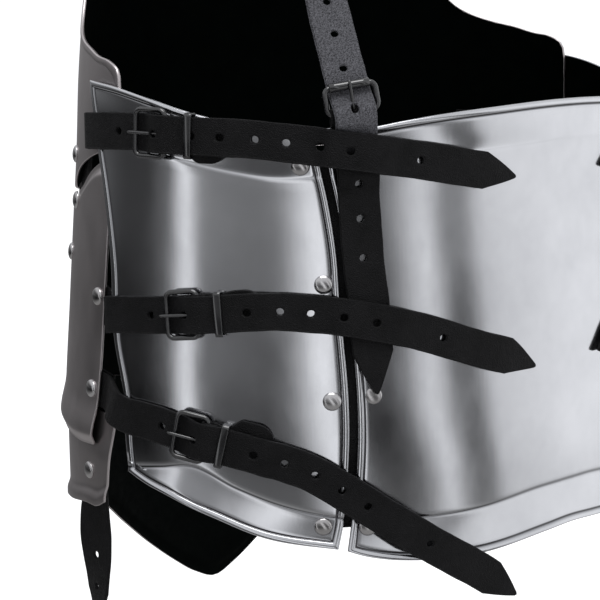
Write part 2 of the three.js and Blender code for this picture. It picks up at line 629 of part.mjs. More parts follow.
// Colours and finishes.
const METALS = {
  polished: { color: 0xa9acb2, roughness: 0.22, metalness: 1 },
  front: { color: 0x8f8c8d, roughness: 0.32, metalness: 1 },
  black: { color: 0x17181a, roughness: 0.35, metalness: 0.6 },
  leather: { color: 0x161517, roughness: 0.62, metalness: 0 },
};
const group = new THREE.Group();
group.name = "cuirass";

function add(name, body, finish, flipped) {
  const mesh = body.getMesh();
  const positions = Array.from(mesh.vertProperties);
  const index = Array.from(mesh.triVerts);
  if (flipped) {
    for (let k = 0; k < positions.length; k += 3) positions[k] = -positions[k];
    for (let k = 0; k < index.length; k += 3) [index[k + 1], index[k + 2]] = [index[k + 2], index[k + 1]];
  }
  const shape = new THREE.BufferGeometry();
  shape.setAttribute("position", new THREE.Float32BufferAttribute(positions, 3));
  shape.setIndex(index);
  const part = new THREE.Mesh(toCreasedNormals(shape, radians(35)), new THREE.MeshStandardMaterial(METALS[finish]));
  part.name = name;
  group.add(part);
}

function addPair(name, body, finish) {
  add(`${name}_left`, body, finish, false);
  add(`${name}_right`, body, finish, true);
}

// Rivets on the plates: angle and rise, then the heights of the inner end and the head.
const SEAM_TAIL = -1.2;
const seat = (offset) => offset + STEEL / 2 - 0.15;
function stud(angle, rise_, tail, seat_, head = RIVET_HEAD, height = RIVET_RISE) {
  return { point: trunk(angle, rise_, 0), normal: trunkNormal(angle, rise_), tail, seat: seat_, head, height };
}
// Pins that a strap or chape covers are plain shanks, level with the leather they hold.
const formed = (s) => (s.top
  ? rod(s.point.clone().addScaledVector(s.normal, s.tail), s.point.clone().addScaledVector(s.normal, s.top),
    RIVET_SHANK, 5)
  : rivet(s.point, s.normal, s.tail, s.seat, s.head, s.height));
const bothSides = (studs) => [...studs, ...studs.map((s) => ({
  ...s,
  point: new THREE.Vector3(-s.point.x, s.point.y, s.point.z),
  normal: new THREE.Vector3(-s.normal.x, s.normal.y, s.normal.z),
}))];
const withStuds = (body, studs) => studs.reduce((sum, s) => sum.add(formed(s)), body);
const holeFor = (s, from, to) => shankHole(s.point, s.normal, from, to);

// Tracks of all left-hand straps.
const tracks = {
  upper: track(onTrunk(UPPER_PATH)),
  middle: track(onTrunk(MIDDLE_PATH)),
  lower: track(onTrunk(LOWER_PATH)),
  shoulder: track([...onTrunk(SHOULDER_FRONT), ...inAir(SHOULDER_ARCH), ...onTrunk(SHOULDER_BACK)]),
  hanging: track(onTrunk(HANGING_PATH)),
};

// Heights over the trunk's oval in the stack on the band: plate, chape, bar and strap.
const PLATE_TOP = BAND_LAYER + STEEL / 2;
const OVER_RIM = PLATE_TOP + RIM_RAISE + GAP + LEATHER / 2;
function stack(extra) {
  const base = PLATE_TOP + extra;
  const chapeBase = base + GAP + CHAPE_LEATHER / 2;
  const bar = base + GAP + CHAPE_LEATHER + GAP + ROD;
  const underFar = base + GAP + LEATHER / 2 + 0.25;
  return {
    base,
    chapeBase,
    bar,
    overBar: bar + ROD + GAP + CHAPE_LEATHER + GAP + LEATHER / 2,
    underFar,
    far: underFar + LEATHER / 2 + GAP + ROD + 0.1,
    overChape: chapeBase + 1.5 + CHAPE_LEATHER / 2 + GAP + LEATHER / 2,
  };
}
const INSIDE = -STEEL - GAP - 0.35 - LEATHER / 2;

// extra is the height of the border that a strap lies across all along.
const SIDE_STRAPS = table("name heel first edge extra holeCount", [
  ["upper", 14.7, -12.6, -9.4, RIM_RAISE + TOP_FLARE, 7],
  ["middle", 22.4, -2.25, 0.6, 0, 7],
  ["lower", 24.6, -3.6, 4.6, 0, 7],
]);
const SHOULDER_ROD = 1.3;
const SHOULDER_BASE = OVER_RIM + TOP_FLARE - LEATHER / 2 + CHAPE_LEATHER / 2 + 0.1;
const SHOULDER_REST = SHOULDER_BASE + CHAPE_LEATHER / 2 + 2 * GAP + LEATHER / 2;
const OVER_SHOULDER = SHOULDER_REST + LEATHER + GAP + 0.7;
const KNOTS = {
  upper: (p) => [[p.near(42.8, 0.95), OVER_RIM + 1], [p.near(45.8, 0.945), OVER_SHOULDER],
    [p.near(54.4, 0.93), OVER_SHOULDER], [p.near(58.5, 0.92), OVER_RIM + 0.6], [p.length, OVER_RIM + 0.8]],
  middle: (p) => [[p.near(44, 0.56), OVER_RIM + 0.1], [p.near(47.6, 0.556), 7.4],
    [p.near(57, 0.527), 7.4], [p.near(61, 0.51), OVER_RIM], [p.length, OVER_RIM + 0.6]],
  lower: (p) => [[p.near(45.6, 0.163), OVER_RIM + 0.9], [p.near(54, 0.085), 8.2],
    [p.near(58.5, 0.039), 10.8], [p.near(70, -0.078), 11], [p.length, 11.8]],
};

const fittings = {};
for (const row of SIDE_STRAPS) {
  const path = tracks[row.name];
  const target = lookup(
    { upper: UPPER_PATH, middle: MIDDLE_PATH, lower: LOWER_PATH }[row.name], "angle", "rise", row.heel);
  const heel = path.near(row.heel, target);
  const riseAt = (angle) => lookup(
    { upper: UPPER_PATH, middle: MIDDLE_PATH, lower: LOWER_PATH }[row.name], "angle", "rise", angle);
  const outside = row.name === "upper";
  const heights = stack(row.extra);
  const pass = PLATE_TOP + RIM_RAISE + (outside ? TOP_FLARE : 0) + GAP + LEATHER / 2 + 0.15;
  const start = outside ? GAP + LEATHER / 2 + 0.1 : INSIDE;
  const leave = outside ? 2.5 : path.near(row.first, riseAt(row.first)) + 0.5;
  const lift = [
    [0, start], [leave, start], [path.near(row.edge, riseAt(row.edge)), pass + 0.1],
    [heel - SIDE_FRAME_LENGTH - 7, pass], [heel - SIDE_FRAME_LENGTH - 1, heights.underFar],
    [heel - SIDE_FRAME_LENGTH + 1.6, heights.underFar], [heel - 0.8, heights.overBar + 0.15],
    [heel + 1.2, heights.overBar + 0.15], [heel + 8.6, heights.overChape],
    [heel + CHAPE_LENGTH - 1, heights.overChape], [heel + CHAPE_LENGTH + 6, pass], ...KNOTS[row.name](path),
  ];
  const frame = buckleFrame(path, heel, SIDE_FRAME_LENGTH, heights.bar, heights.far);
  const prong = prongParts(frame, ROD);
  const pinPlace = path.at(heel + CHAPE_RIVET_AT);
  fittings[row.name] = { path, heel, lift, frame, prong, pin: pinPlace, top: heights.chapeBase + CHAPE_LEATHER / 2 };
  const chapeWidth = SIDE_STRAP_WIDTH * CHAPE_SHARE;
  addPair(`buckle_${row.name}`, buckle(frame, SIDE_STRAP_WIDTH, ROD), "black");
  addPair(`prong_${row.name}`, prong.body, "black");
  addPair(`keeper_${row.name}`, keeper(path, heel + KEEPER_AT, SIDE_STRAP_WIDTH,
    heights.base + GAP, heights.overChape + LEATHER / 2 + GAP + KEEPER_METAL), "black");
  addPair(`chape_${row.name}`, chape(path, {
    heel, width: chapeWidth, centre: heights.bar, base: heights.chapeBase, keeper: true,
    length: CHAPE_LENGTH, radius: ROD,
  }), "leather");
}

// The shoulder strap's buckle stands just above the band's top edge.
const shoulderPath = tracks.shoulder;
const shoulderHeel = shoulderPath.near(49.1, 1.03);
const SHOULDER_BAR = SHOULDER_BASE + SHOULDER_ROD + GAP + CHAPE_LEATHER / 2;
const SHOULDER_OVER = SHOULDER_BAR + SHOULDER_ROD + GAP + CHAPE_LEATHER + GAP + LEATHER / 2 + 0.15;
const shoulderFrame = buckleFrame(shoulderPath, shoulderHeel, SHOULDER_FRAME_LENGTH, SHOULDER_BAR, 6.6);
const shoulderProng = prongParts(shoulderFrame, SHOULDER_ROD);
const shoulderPin = shoulderPath.at(shoulderHeel + CHAPE_RIVET_AT);
const tabTop = shoulderPath.near(-53.6, 1.85);
const shoulderLift = [
  [0, GAP + LEATHER / 2 + 0.1], [tabTop - 6, GAP + LEATHER / 2 + 0.1], [tabTop + 4, 2.6],
  [tabTop + 40, 4], [shoulderHeel - SHOULDER_FRAME_LENGTH - 1, 4],
  [shoulderHeel - SHOULDER_FRAME_LENGTH + 1.6, 4], [shoulderHeel - 0.8, SHOULDER_OVER],
  [shoulderHeel + 1.2, SHOULDER_OVER], [shoulderHeel + 8.6, SHOULDER_REST],
  [shoulderHeel + CHAPE_LENGTH - 1, SHOULDER_REST], [shoulderHeel + CHAPE_LENGTH + 8, OVER_RIM],
  [shoulderPath.length, OVER_RIM],
];
addPair("shoulder_buckle", buckle(shoulderFrame, SHOULDER_STRAP_WIDTH + 1.6, SHOULDER_ROD), "black");
addPair("shoulder_prong", shoulderProng.body, "black");
addPair("shoulder_chape", chape(shoulderPath, {
  heel: shoulderHeel, width: SHOULDER_STRAP_WIDTH * CHAPE_SHARE, centre: SHOULDER_BAR, base: SHOULDER_BASE,
  keeper: false, length: CHAPE_LENGTH, radius: SHOULDER_ROD,
}), "leather");

// Studs that fasten leather to steel.
const upperPin = fittings.upper.path.at(4.5);
const tabPin = shoulderPath.at(9);
const breastStuds = [
  stud(-27, 0.88, -6.5, -0.15),
  { point: upperPin.point, normal: upperPin.normal, tail: -2.4, top: LEATHER + GAP + 0.1 },
  { point: tabPin.point, normal: tabPin.normal, tail: -3.6, seat: LEATHER + 2 * GAP + 0.2,
    head: RIVET_HEAD, height: RIVET_RISE },
];
const plackartStuds = [
  stud(-22.5, 0.77, -6.5, -0.15),
  stud(-27, 0.63, -6.5, -0.15),
  stud(-6.1, 0.557, INSIDE - LEATHER / 2 - GAP, -0.15),
  stud(-7, 0.325, -7.6, -0.15),
];
const fauldStuds = [stud(-8.8, 0.11, -7.6, -1.55)];
const sideStuds = [
  stud(40.3, 0.905, SEAM_TAIL, seat(BAND_LAYER) + 0.1), stud(44.6, 0.63, SEAM_TAIL, seat(BAND_LAYER)),
  stud(46.3, 0.355, SEAM_TAIL, seat(BAND_LAYER)), stud(44.9, 0.055, SEAM_TAIL, seat(BAND_LAYER) + 1.2),
  ...["upper", "middle", "lower"].map((name) => ({
    point: fittings[name].pin.point, normal: fittings[name].pin.normal, tail: BAND_LAYER - STEEL,
    top: fittings[name].top,
  })),
];
const centreStuds = [
  { point: shoulderPin.point, normal: shoulderPin.normal, tail: SEAM_TAIL,
    top: SHOULDER_BASE + CHAPE_LEATHER / 2 },
  { point: trunk(51.4, 0.63, 0), normal: trunkNormal(51.4, 0.63), tail: SEAM_TAIL, top: PLATE_TOP - 0.1 },
  stud(53.2, 0.365, SEAM_TAIL, seat(BAND_LAYER), RIVET_HEAD * 0.9, 1.2),
  stud(52.3, 0.05, SEAM_TAIL, seat(BAND_LAYER) + 1.2),
];

// Plates.
const centreLine = (from, to, turn) => flatLine([{ angle: turn, rise: from }, { angle: turn, rise: to }]);
const breast = shell({
  low: flatLine(whole(BREAST_LOW, -180)), high: flatLine(whole(BREAST_TOP, -180)),
  first: centreLine(0.925, 1.07, -0.8), last: centreLine(0.925, 1.07, -179.2),
  columns: 28, rows: 4, offset: breastOffset, thickness: STEEL, rims: ["high"],
});
add("breastplate", withStuds(breast, bothSides(breastStuds)), "front", false);

const plackart = shell({
  low: flatLine(whole(PLACKART_LOW, -180)), high: flatLine(whole(PLACKART_TOP, -180)),
  first: flatLine(PLACKART_SIDE), last: flatLine(mirrored(PLACKART_SIDE, -180)),
  columns: 26, rows: [1, 4, 1, 1], offset: plackartOffset, thickness: STEEL, rims: [],
  bends: [descending(PLACKART_LOW).map((r) => ({ angle: r.angle, rise: r.rise + 0.11 })),
    descending(PLACKART_STEP).map((r) => ({ angle: r.angle, rise: r.rise - 0.013 })),
    descending(PLACKART_STEP).map((r) => ({ angle: r.angle, rise: r.rise + 0.013 }))],
});
add("plackart", withStuds(plackart, bothSides(plackartStuds)), "front", false);

const fauld = shell({
  low: flatLine(whole(FAULD_LOW, -180)), high: flatLine(whole(FAULD_TOP, -180)),
  first: flatLine(FAULD_SIDE), last: flatLine(mirrored(FAULD_SIDE, -180)),
  columns: 24, rows: 4, offset: fauldOffset, thickness: STEEL, rims: [],
});
add("fauld_lame", withStuds(fauld, bothSides(fauldStuds)), "front", false);

const seamAngle = OPEN_SEAM / FLAT[0];
const centreEdge = SEAM.map((row, k) => {
  if (k === 0) return CENTRE_LOW[0];
  if (k === SEAM.length - 1) return CENTRE_TOP[0];
  return { angle: row.angle + seamAngle, rise: row.rise };
});
const centre = shell({
  low: flatLine(whole(CENTRE_LOW, 180)), high: flatLine(whole(CENTRE_TOP, 180)),
  first: flatLine(centreEdge), last: flatLine(mirrored(centreEdge, 180)),
  columns: 12, rows: [1, 1, 2, 1], offset: bandOffset, thickness: STEEL, rims: ["low", "high", "first", "last"],
  bends: [FLANGE_CREASE, HIP, TOP_CREASE],
});
add("back_plate", withStuds(centre, bothSides(centreStuds)), "polished", false);

const sidePlate = shell({
  low: flatLine(SIDE_LOW), high: flatLine(SIDE_TOP), first: flatLine(SIDE_FRONT), last: flatLine(SEAM),
  columns: 8, rows: [1, 1, 2, 1], offset: bandOffset, thickness: STEEL, rims: ["low", "high", "first", "last"],
  bends: [FLANGE_CREASE, HIP, TOP_CREASE],
});
addPair("side_plate", withStuds(sidePlate, sideStuds), "polished");

// Leathers behind the seams and inside the front.
const seamLeft = -0.44 * (SEAM_LEATHER_WIDTH / FLAT[0]);
const seamRight = seamLeft + SEAM_LEATHER_WIDTH / FLAT[0];
const strip = (shift) => flatLine(
  SEAM.filter((row) => row.rise > 0.02 && row.rise < 0.97).map((row) => ({ angle: row.angle + shift, rise: row.rise })));
const [seamA, seamB] = [strip(seamLeft), strip(seamRight)];
const joinLine = (a, b) => flatLine([{ angle: a[0], rise: a[1] }, { angle: b[0], rise: b[1] }]);
let seamLeather = shell({
  low: joinLine(seamA.read(0), seamB.read(0)), high: joinLine(seamA.read(1), seamB.read(1)),
  first: seamA, last: seamB, columns: 3, rows: 5,
  offset: () => BAND_LAYER - STEEL / 2 - GAP - 0.25 - LEATHER / 2, thickness: LEATHER, rims: [],
});
for (const s of [...sideStuds.slice(0, 4), ...centreStuds]) seamLeather = seamLeather.subtract(holeFor(s, -3, 3));
addPair("seam_leather", seamLeather, "leather");

const FRONT_LEATHER = { from: -18.5, to: -31, low: 0.57, high: 0.94, offset: -5.2 };
let frontLeather = shell({
  low: flatLine([{ angle: FRONT_LEATHER.from, rise: FRONT_LEATHER.low }, { angle: FRONT_LEATHER.to, rise: FRONT_LEATHER.low }]),
  high: flatLine([{ angle: FRONT_LEATHER.from, rise: FRONT_LEATHER.high }, { angle: FRONT_LEATHER.to, rise: FRONT_LEATHER.high }]),
  first: centreLine(FRONT_LEATHER.low, FRONT_LEATHER.high, FRONT_LEATHER.from),
  last: centreLine(FRONT_LEATHER.low, FRONT_LEATHER.high, FRONT_LEATHER.to),
  columns: 3, rows: 3, offset: () => FRONT_LEATHER.offset, thickness: LEATHER, rims: [],
});
for (const s of [breastStuds[0], plackartStuds[0], plackartStuds[1]]) {
  frontLeather = frontLeather.subtract(holeFor(s, -9, 0));
}
addPair("front_leather", frontLeather, "leather");

// Straps.
const pinOf = (s, from, to) => ({ point: s.point, normal: s.normal, from, to });
for (const row of SIDE_STRAPS) {
  const { path, heel, lift, prong } = fittings[row.name];
  const holes = [heel - SIDE_FRAME_LENGTH - 8];
  for (let k = 0; k < row.holeCount; k += 1) holes.push(heel + HOLE_PITCH * (k + 1) + (k === 0 ? 3.4 : 0));
  const studs = { upper: breastStuds[1], middle: plackartStuds[2], lower: plackartStuds[3] };
  addPair(`strap_${row.name}`, strap(path, {
    width: SIDE_STRAP_WIDTH, lift, tip: true, holes: holes.filter((s) => s < path.length - 30), prong,
    pins: [pinOf(studs[row.name], -6, 4)],
  }), "leather");
}
const shoulderHoles = [];
for (let k = 1; k <= 5; k += 1) shoulderHoles.push(shoulderHeel - SHOULDER_FRAME_LENGTH - HOLE_PITCH * 1.1 * k + 6);
for (let k = 2; k <= 5; k += 1) shoulderHoles.push(shoulderHeel + HOLE_PITCH * 1.1 * k);
addPair("shoulder_strap", strap(shoulderPath, {
  width: SHOULDER_STRAP_WIDTH, lift: shoulderLift, tip: true, holes: shoulderHoles, prong: shoulderProng,
  pins: [pinOf(breastStuds[2], -1, 4)],
}), "leather");

const hangingPath = tracks.hanging;
const hangingFree = hangingPath.near(-9.4, 0.04);
addPair("hanging_strap", strap(hangingPath, {
  width: SHOULDER_STRAP_WIDTH,
  lift: [[0, -6.3], [hangingFree - 24, -6.3], [hangingFree, -5], [hangingPath.length, -5]],
  tip: true,
  holes: [hangingPath.near(-9, -0.15), hangingPath.near(-8.8, -0.15) - HOLE_PITCH],
  prong: null,
  pins: [pinOf(plackartStuds[3], -9, -3), pinOf(fauldStuds[0], -9, -3)],
  twist: [[hangingFree + 16, 0], [hangingPath.length, -38]],
}), "leather");

export default group;
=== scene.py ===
import bpy
import numpy as np
from mathutils import Matrix


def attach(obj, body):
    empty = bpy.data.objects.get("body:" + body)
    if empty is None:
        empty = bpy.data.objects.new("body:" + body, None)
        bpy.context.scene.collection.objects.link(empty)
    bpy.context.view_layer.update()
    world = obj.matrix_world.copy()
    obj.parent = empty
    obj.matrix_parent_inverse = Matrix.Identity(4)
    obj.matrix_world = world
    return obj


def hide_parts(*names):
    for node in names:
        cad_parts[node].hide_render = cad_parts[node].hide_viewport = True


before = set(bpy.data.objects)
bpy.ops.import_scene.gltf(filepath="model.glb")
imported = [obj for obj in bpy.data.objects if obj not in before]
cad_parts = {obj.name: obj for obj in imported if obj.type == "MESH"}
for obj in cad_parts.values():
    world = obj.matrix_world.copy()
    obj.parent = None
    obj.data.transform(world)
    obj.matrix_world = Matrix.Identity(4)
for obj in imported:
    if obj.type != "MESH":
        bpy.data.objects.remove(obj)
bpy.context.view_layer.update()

# Sizes in millimetres, as in the solids. Heights on the trunk are shares of BAND, angles are degrees.
HALF_WIDTH, HALF_DEPTH, BAND, CHEST_SWELL = 175, 135, 200, 22
STEEL, RIM_RAISE, BAND_LAYER, FLANGE_FLARE, LIP_FLARE, TOP_FLARE = 1.4, 0.8, 2.3, 5, 2.6, 0.5
LEATHER, CHAPE_LEATHER, GAP, OPEN_SEAM, SEAM_LEATHER_WIDTH = 1.8, 1.4, 0.3, 3.4, 32
SIDE_WIDTH, SHOULDER_WIDTH, CHAPE_SHARE, HOLE_RADIUS = 18, 20, 0.94, 1.9
ROD, SHOULDER_ROD, PRONG_ROD, SIDE_FRAME, SHOULDER_FRAME = 1.25, 1.3, 0.8, 14.8, 10
KEEPER_WIDTH, KEEPER_METAL, CHAPE_LENGTH = 3.6, 1.1, 30
RIVET_HEAD, RIVET_RISE, RIVET_SHANK = 4.5, 2.3, 1.7

# Half width of the raised border, where the groove at its foot runs, and where painted shade and dirt lie.
# Grooves as depth
# and width: at the border's foot, along the flange's crease, along the upper crease, and its slope above.
HALF_BORDER, FOOT, SHADE_AND_DIRT_FOOT = 1.55, 3.3, 3.35
FOOT_GROOVE, FLANGE_GROOVE, UPPER_GROOVE, UPPER_SLOPE = (0.22, 0.3), (0.2, 0.8), (0.36, 1.2), 5
# How far the fauld's point lies inward, and the depth of each front lame's tuck behind the one above.
POINT_INSET, PLACKART_TUCK, FAULD_TUCK = 6, STEEL + 2 * GAP + 0.4, 1.8

# Oval scale of the trunk at each height, then the plates' edges as angle and rise.
TRUNK = [(-0.6, 1.035), (0, 1.022), (0.22, 1.022), (0.495, 1), (0.72, 0.981), (0.885, 0.967),
         (1.08, 0.955), (1.265, 0.935), (1.5, 0.9), (1.725, 0.85), (1.925, 0.78), (2.1, 0.72)]
BREAST_TOP = [(-0.8, 1.07), (-1.6, 1.11), (-5, 1.13), (-10.5, 1.14), (-15.3, 1.155), (-21.5, 1.17),
              (-27, 1.19), (-31, 1.215), (-34, 1.25), (-37, 1.31), (-40, 1.4), (-42.5, 1.52),
              (-43.4, 1.65), (-42.5, 1.78), (-41.5, 1.87), (-45, 1.905), (-52, 1.915), (-58, 1.9),
              (-61, 1.84), (-66, 1.76), (-74, 1.705), (-82, 1.68), (-90, 1.675)]
BREAST_LOW = [(-0.8, 0.925), (-10.2, 0.9), (-22, 0.85), (-29, 0.805), (-45, 0.755), (-65, 0.72),
              (-90, 0.705)]
PLACKART_TOP = [(-3, 0.895), (-9.6, 0.88), (-15.3, 0.85), (-21, 0.81), (-26, 0.79), (-35, 0.79),
                (-50, 0.795), (-70, 0.785), (-90, 0.78)]
PLACKART_STEP = [(-3, 0.872), (-9.6, 0.857), (-21, 0.785), (-27, 0.76), (-40, 0.725), (-65, 0.685),
                 (-90, 0.67)]
PLACKART_SIDE = [(-5.6, 0.185), (-4.9, 0.24), (-4.2, 0.325), (-3.8, 0.405), (-3.6, 0.56), (-3.3, 0.7),
                 (-3, 0.895)]
PLACKART_LOW = [(-5.6, 0.185), (-10, 0.18), (-29, 0.18), (-50, 0.14), (-70, 0.08), (-90, 0.05)]
FAULD_TOP = [(0.2, 0.268), (-30, 0.268), (-50, 0.23), (-70, 0.17), (-90, 0.14)]
FAULD_SIDE = [(-2.2, 0.045), (-1.6, 0.11), (-0.6, 0.19), (0.2, 0.268)]
FAULD_LOW = [(-2.2, 0.055), (-5, 0.037), (-9, 0.034), (-18, 0.014), (-29, -0.01), (-41, -0.06),
             (-56, -0.15), (-64, -0.245), (-72, -0.345), (-79, -0.425), (-85, -0.485), (-90, -0.515)]
SIDE_FRONT = [(7.3, 0.155), (6.5, 0.23), (5.6, 0.34), (2, 0.48), (0.1, 0.66), (-4, 0.845),
              (-6.1, 0.915), (-8.5, 1.005), (-10.4, 1.082)]
SIDE_TOP = [(-10.4, 1.082), (0, 1.073), (10.5, 1.05), (17.4, 1.03), (23.1, 1.015), (33, 1), (42.5, 0.993)]
SEAM = [(47.6, 0), (48.3, 0.045), (49.2, 0.18), (49.4, 0.285), (49.2, 0.36), (48.3, 0.5),
        (47.5, 0.595), (47, 0.69), (45.5, 0.81), (43.8, 0.91), (42.5, 0.993)]
SIDE_LOW = [(7.3, 0.155), (12, 0.135), (17.6, 0.115), (25.5, 0.08), (35.6, 0.03), (47.6, 0)]
CENTRE_TOP = [(44, 0.993), (53.3, 0.995), (57.6, 1.005), (66.5, 1.02), (76, 1.03), (84.8, 1.036), (90, 1.037)]
CENTRE_LOW = [(49.1, -0.005), (51.7, -0.018), (55.4, -0.03), (60.9, -0.04), (70.7, -0.045),
              (84.4, -0.025), (90, -0.02)]
FLANGE_CREASE = [(7, 0.165), (15, 0.18), (22, 0.19), (30, 0.145), (38, 0.105), (47, 0.075), (61, 0.06),
                 (72, 0.063), (84, 0.083), (90, 0.085)]
FLANGE_EDGE = [(7, 0.155), (17.6, 0.115), (25.5, 0.08), (35.6, 0.03), (47.6, 0), (55.4, -0.03),
               (61, -0.04), (71, -0.045), (84, -0.025), (90, -0.02)]
TOP_CREASE = [(-10, 0.975), (10, 0.935), (22, 0.906), (29, 0.891), (36, 0.88), (45, 0.885), (58, 0.91),
              (71, 0.93), (90, 0.945)]
UPPER_PATH = [(-12.6, 0.955), (-9.9, 0.959), (-4.2, 0.9645), (2.6, 0.97), (8.3, 0.973), (14.4, 0.9725),
              (19.9, 0.971), (25.9, 0.97), (31.6, 0.9665), (36.9, 0.96), (42.1, 0.9525), (47.2, 0.9435),
              (52.3, 0.9335), (57.4, 0.9215), (62.7, 0.9085), (68, 0.8935), (72.5, 0.881), (78.4, 0.8605)]
MIDDLE_PATH = [(-13, 0.565), (-9, 0.555), (-5.5, 0.543), (-0.7, 0.524), (2.2, 0.5285), (5.9, 0.5345),
               (11, 0.541), (15.7, 0.547), (20.9, 0.5545), (26.7, 0.56), (32.2, 0.567), (37.4, 0.5685),
               (42.5, 0.5635), (47.5, 0.5565), (52.5, 0.5425), (57.5, 0.5255), (62.7, 0.5025),
               (67.9, 0.4745), (73.4, 0.4455), (76.3, 0.432), (82.1, 0.3945)]
LOWER_PATH = [(-13, 0.332), (-9, 0.331), (-6, 0.328), (-2.5, 0.324), (1.1, 0.3165), (4.2, 0.301),
              (7.2, 0.292), (11, 0.289), (15.6, 0.2815), (19.8, 0.2685), (24.7, 0.258), (29.8, 0.244),
              (33.7, 0.2315), (37.9, 0.214), (42.7, 0.1895), (47, 0.1535), (51.1, 0.115), (54, 0.085),
              (57.7, 0.048), (61.4, 0.0095), (66.2, -0.039), (70.2, -0.0795), (77.1, -0.1615)]
SHOULDER_FRONT = [(-56.4, 1.69), (-55.2, 1.75), (-54.3, 1.8), (-53.6, 1.85)]
SHOULDER_ARCH = [(0.48, -0.59, 1.955, 0.2, -0.55, 0.8), (0.489, -0.39, 2.02, 0.1, -0.1, 1),
                 (0.5, -0.17, 2.015, 0.1, 0.3, 0.95), (0.518, 0.05, 1.935, 0.15, 0.6, 0.8),
                 (0.54, 0.25, 1.76, 0.25, 0.8, 0.55), (0.566, 0.414, 1.53, 0.4, 0.85, 0.35),
                 (0.594, 0.549, 1.27, 0.5, 0.85, 0.15), (0.619, 0.658, 1.14, 0.55, 0.83, 0.05)]
SHOULDER_BACK = [(48.8, 1.055), (49.1, 1.03), (49.5, 1), (49.7, 0.9425), (50, 0.8875), (50.4, 0.81),
                 (50.8, 0.735), (51.3, 0.665), (52, 0.595), (52.4, 0.525), (52.8, 0.475), (53.6, 0.37)]
HANGING_PATH = [(-6.4, 0.37), (-7, 0.3), (-7.8, 0.2), (-8.6, 0.11), (-9.4, 0.04), (-10, -0.02),
                (-9.8, -0.07), (-9.2, -0.12), (-8.8, -0.18), (-8.6, -0.24), (-8.6, -0.31)]


norm = np.linalg.norm
scene = bpy.context.scene


def unit(v):
    return v / norm(v, axis=-1, keepdims=True)


def smooth(share):
    t = np.clip(share, 0, 1)
    return t * t * (3 - 2 * t)


def hermite(t, a, b, slope_a, slope_b):
    return ((2 * t**3 - 3 * t * t + 1) * a + (t**3 - 2 * t * t + t) * slope_a
            + (3 * t * t - 2 * t**3) * b + (t**3 - t * t) * slope_b)


def inner_slopes(rate, step):
    return (rate[:-1] * step[1:] + rate[1:] * step[:-1]) / (step[:-1] + step[1:])


def reach_along(points):
    return np.concatenate([[0], np.cumsum(norm(np.diff(points, axis=0), axis=1))])


def full_turn(count):
    return np.linspace(0, 2 * np.pi, count, endpoint=False)


class Line:
    """A smooth line through points of any dimension, read by its share of the length."""

    def __init__(self, points, weights, parts=20):
        p = np.array(points, float)
        step = norm(np.diff(p, axis=0) * weights, axis=1)[:, None]
        rate = np.diff(p, axis=0) / step
        slope = np.vstack([rate[:1], rate[-1:]]) if len(p) == 2 else np.vstack([
            rate[:1], inner_slopes(rate, step), rate[-1:]])
        t = np.linspace(0, 1, parts, endpoint=False)[:, None]
        runs = [hermite(t, p[k], p[k + 1], slope[k] * step[k], slope[k + 1] * step[k])
                for k in range(len(step))]
        self.dense = np.vstack([*runs, p[-1:]])
        self.reach = reach_along(self.dense * weights)
        self.total = self.reach[-1]

    def __call__(self, share):
        at = np.clip(share, 0, 1) * self.total
        return np.stack([np.interp(at, self.reach, column) for column in self.dense.T], -1)


class Curve:
    """A table read smoothly; both halves of the trunk share the left half's table."""

    def __init__(self, rows, fold=True):
        self.fold = fold
        self.x, self.y = np.array(sorted(rows), float).T
        step = np.diff(self.x)
        rate = np.diff(self.y) / step
        self.slope = np.concatenate([rate[:1], inner_slopes(rate, step), rate[-1:]])

    def __call__(self, at):
        if self.fold:
            at = np.where(at > 90, 180 - at, np.where(at < -90, -180 - at, at))
        at = np.clip(at, self.x[0], self.x[-1])
        k = np.clip(np.searchsorted(self.x, at) - 1, 0, len(self.x) - 2)
        h = self.x[k + 1] - self.x[k]
        share = (at - self.x[k]) / h
        return hermite(share, self.y[k], self.y[k + 1], self.slope[k] * h, self.slope[k + 1] * h)


FLAT = np.array([HALF_DEPTH * 0.019, BAND])
oval = Curve(TRUNK, fold=False)
crease_at, edge_at, top_crease_at = Curve(FLANGE_CREASE), Curve(FLANGE_EDGE), Curve(TOP_CREASE)
step_at, plackart_low_at = Curve(PLACKART_STEP), Curve(PLACKART_LOW)
fauld_low_at, fauld_top_at = Curve(FAULD_LOW), Curve(FAULD_TOP)


def flat_line(rows):
    return Line(rows, FLAT)


def mirrored(rows, turn=-180):
    return [(turn - angle, rise) for angle, rise in rows]


def across_middle(rows, turn=-180):
    """An edge that runs over the middle of the body, from its left half's rows."""
    return flat_line(list(rows) + mirrored(rows, turn)[::-1][1:])


def trunk(angle, rise, offset=0.0):
    angle, rise, offset = np.broadcast_arrays(*[np.asarray(v, float) for v in (angle, rise, offset)])
    turn, scale = np.radians(angle), oval(rise)
    front = np.clip(-np.sin(turn), 0, None) ** 4
    swell = CHEST_SWELL * front * np.sin(np.pi * np.clip((rise - 0.15) / 1.75, 0, 1))
    return np.stack([(HALF_WIDTH * scale + offset) * np.cos(turn),
                     (HALF_DEPTH * scale + swell + offset) * np.sin(turn), rise * BAND], -1)


def trunk_normal(angle, rise):
    angle, rise = np.asarray(angle, float), np.asarray(rise, float)
    return unit(np.cross(trunk(angle + 0.5, rise) - trunk(angle - 0.5, rise),
                         trunk(angle, rise + 0.01) - trunk(angle, rise - 0.01)))


# How far each plate's middle surface lies outside the trunk's oval.
def breast_offset(angle, rise):
    return -STEEL / 2 - 0.05 + 0 * angle


def plackart_offset(angle, rise):
    tuck = -PLACKART_TUCK * smooth((rise - step_at(angle) + 0.012) / 0.024)
    low = plackart_low_at(angle)
    return (-STEEL / 2 + tuck + LIP_FLARE * smooth((low + 0.12 - rise) / 0.09)
            - 2.2 * smooth((low + 0.03 - rise) / 0.03))


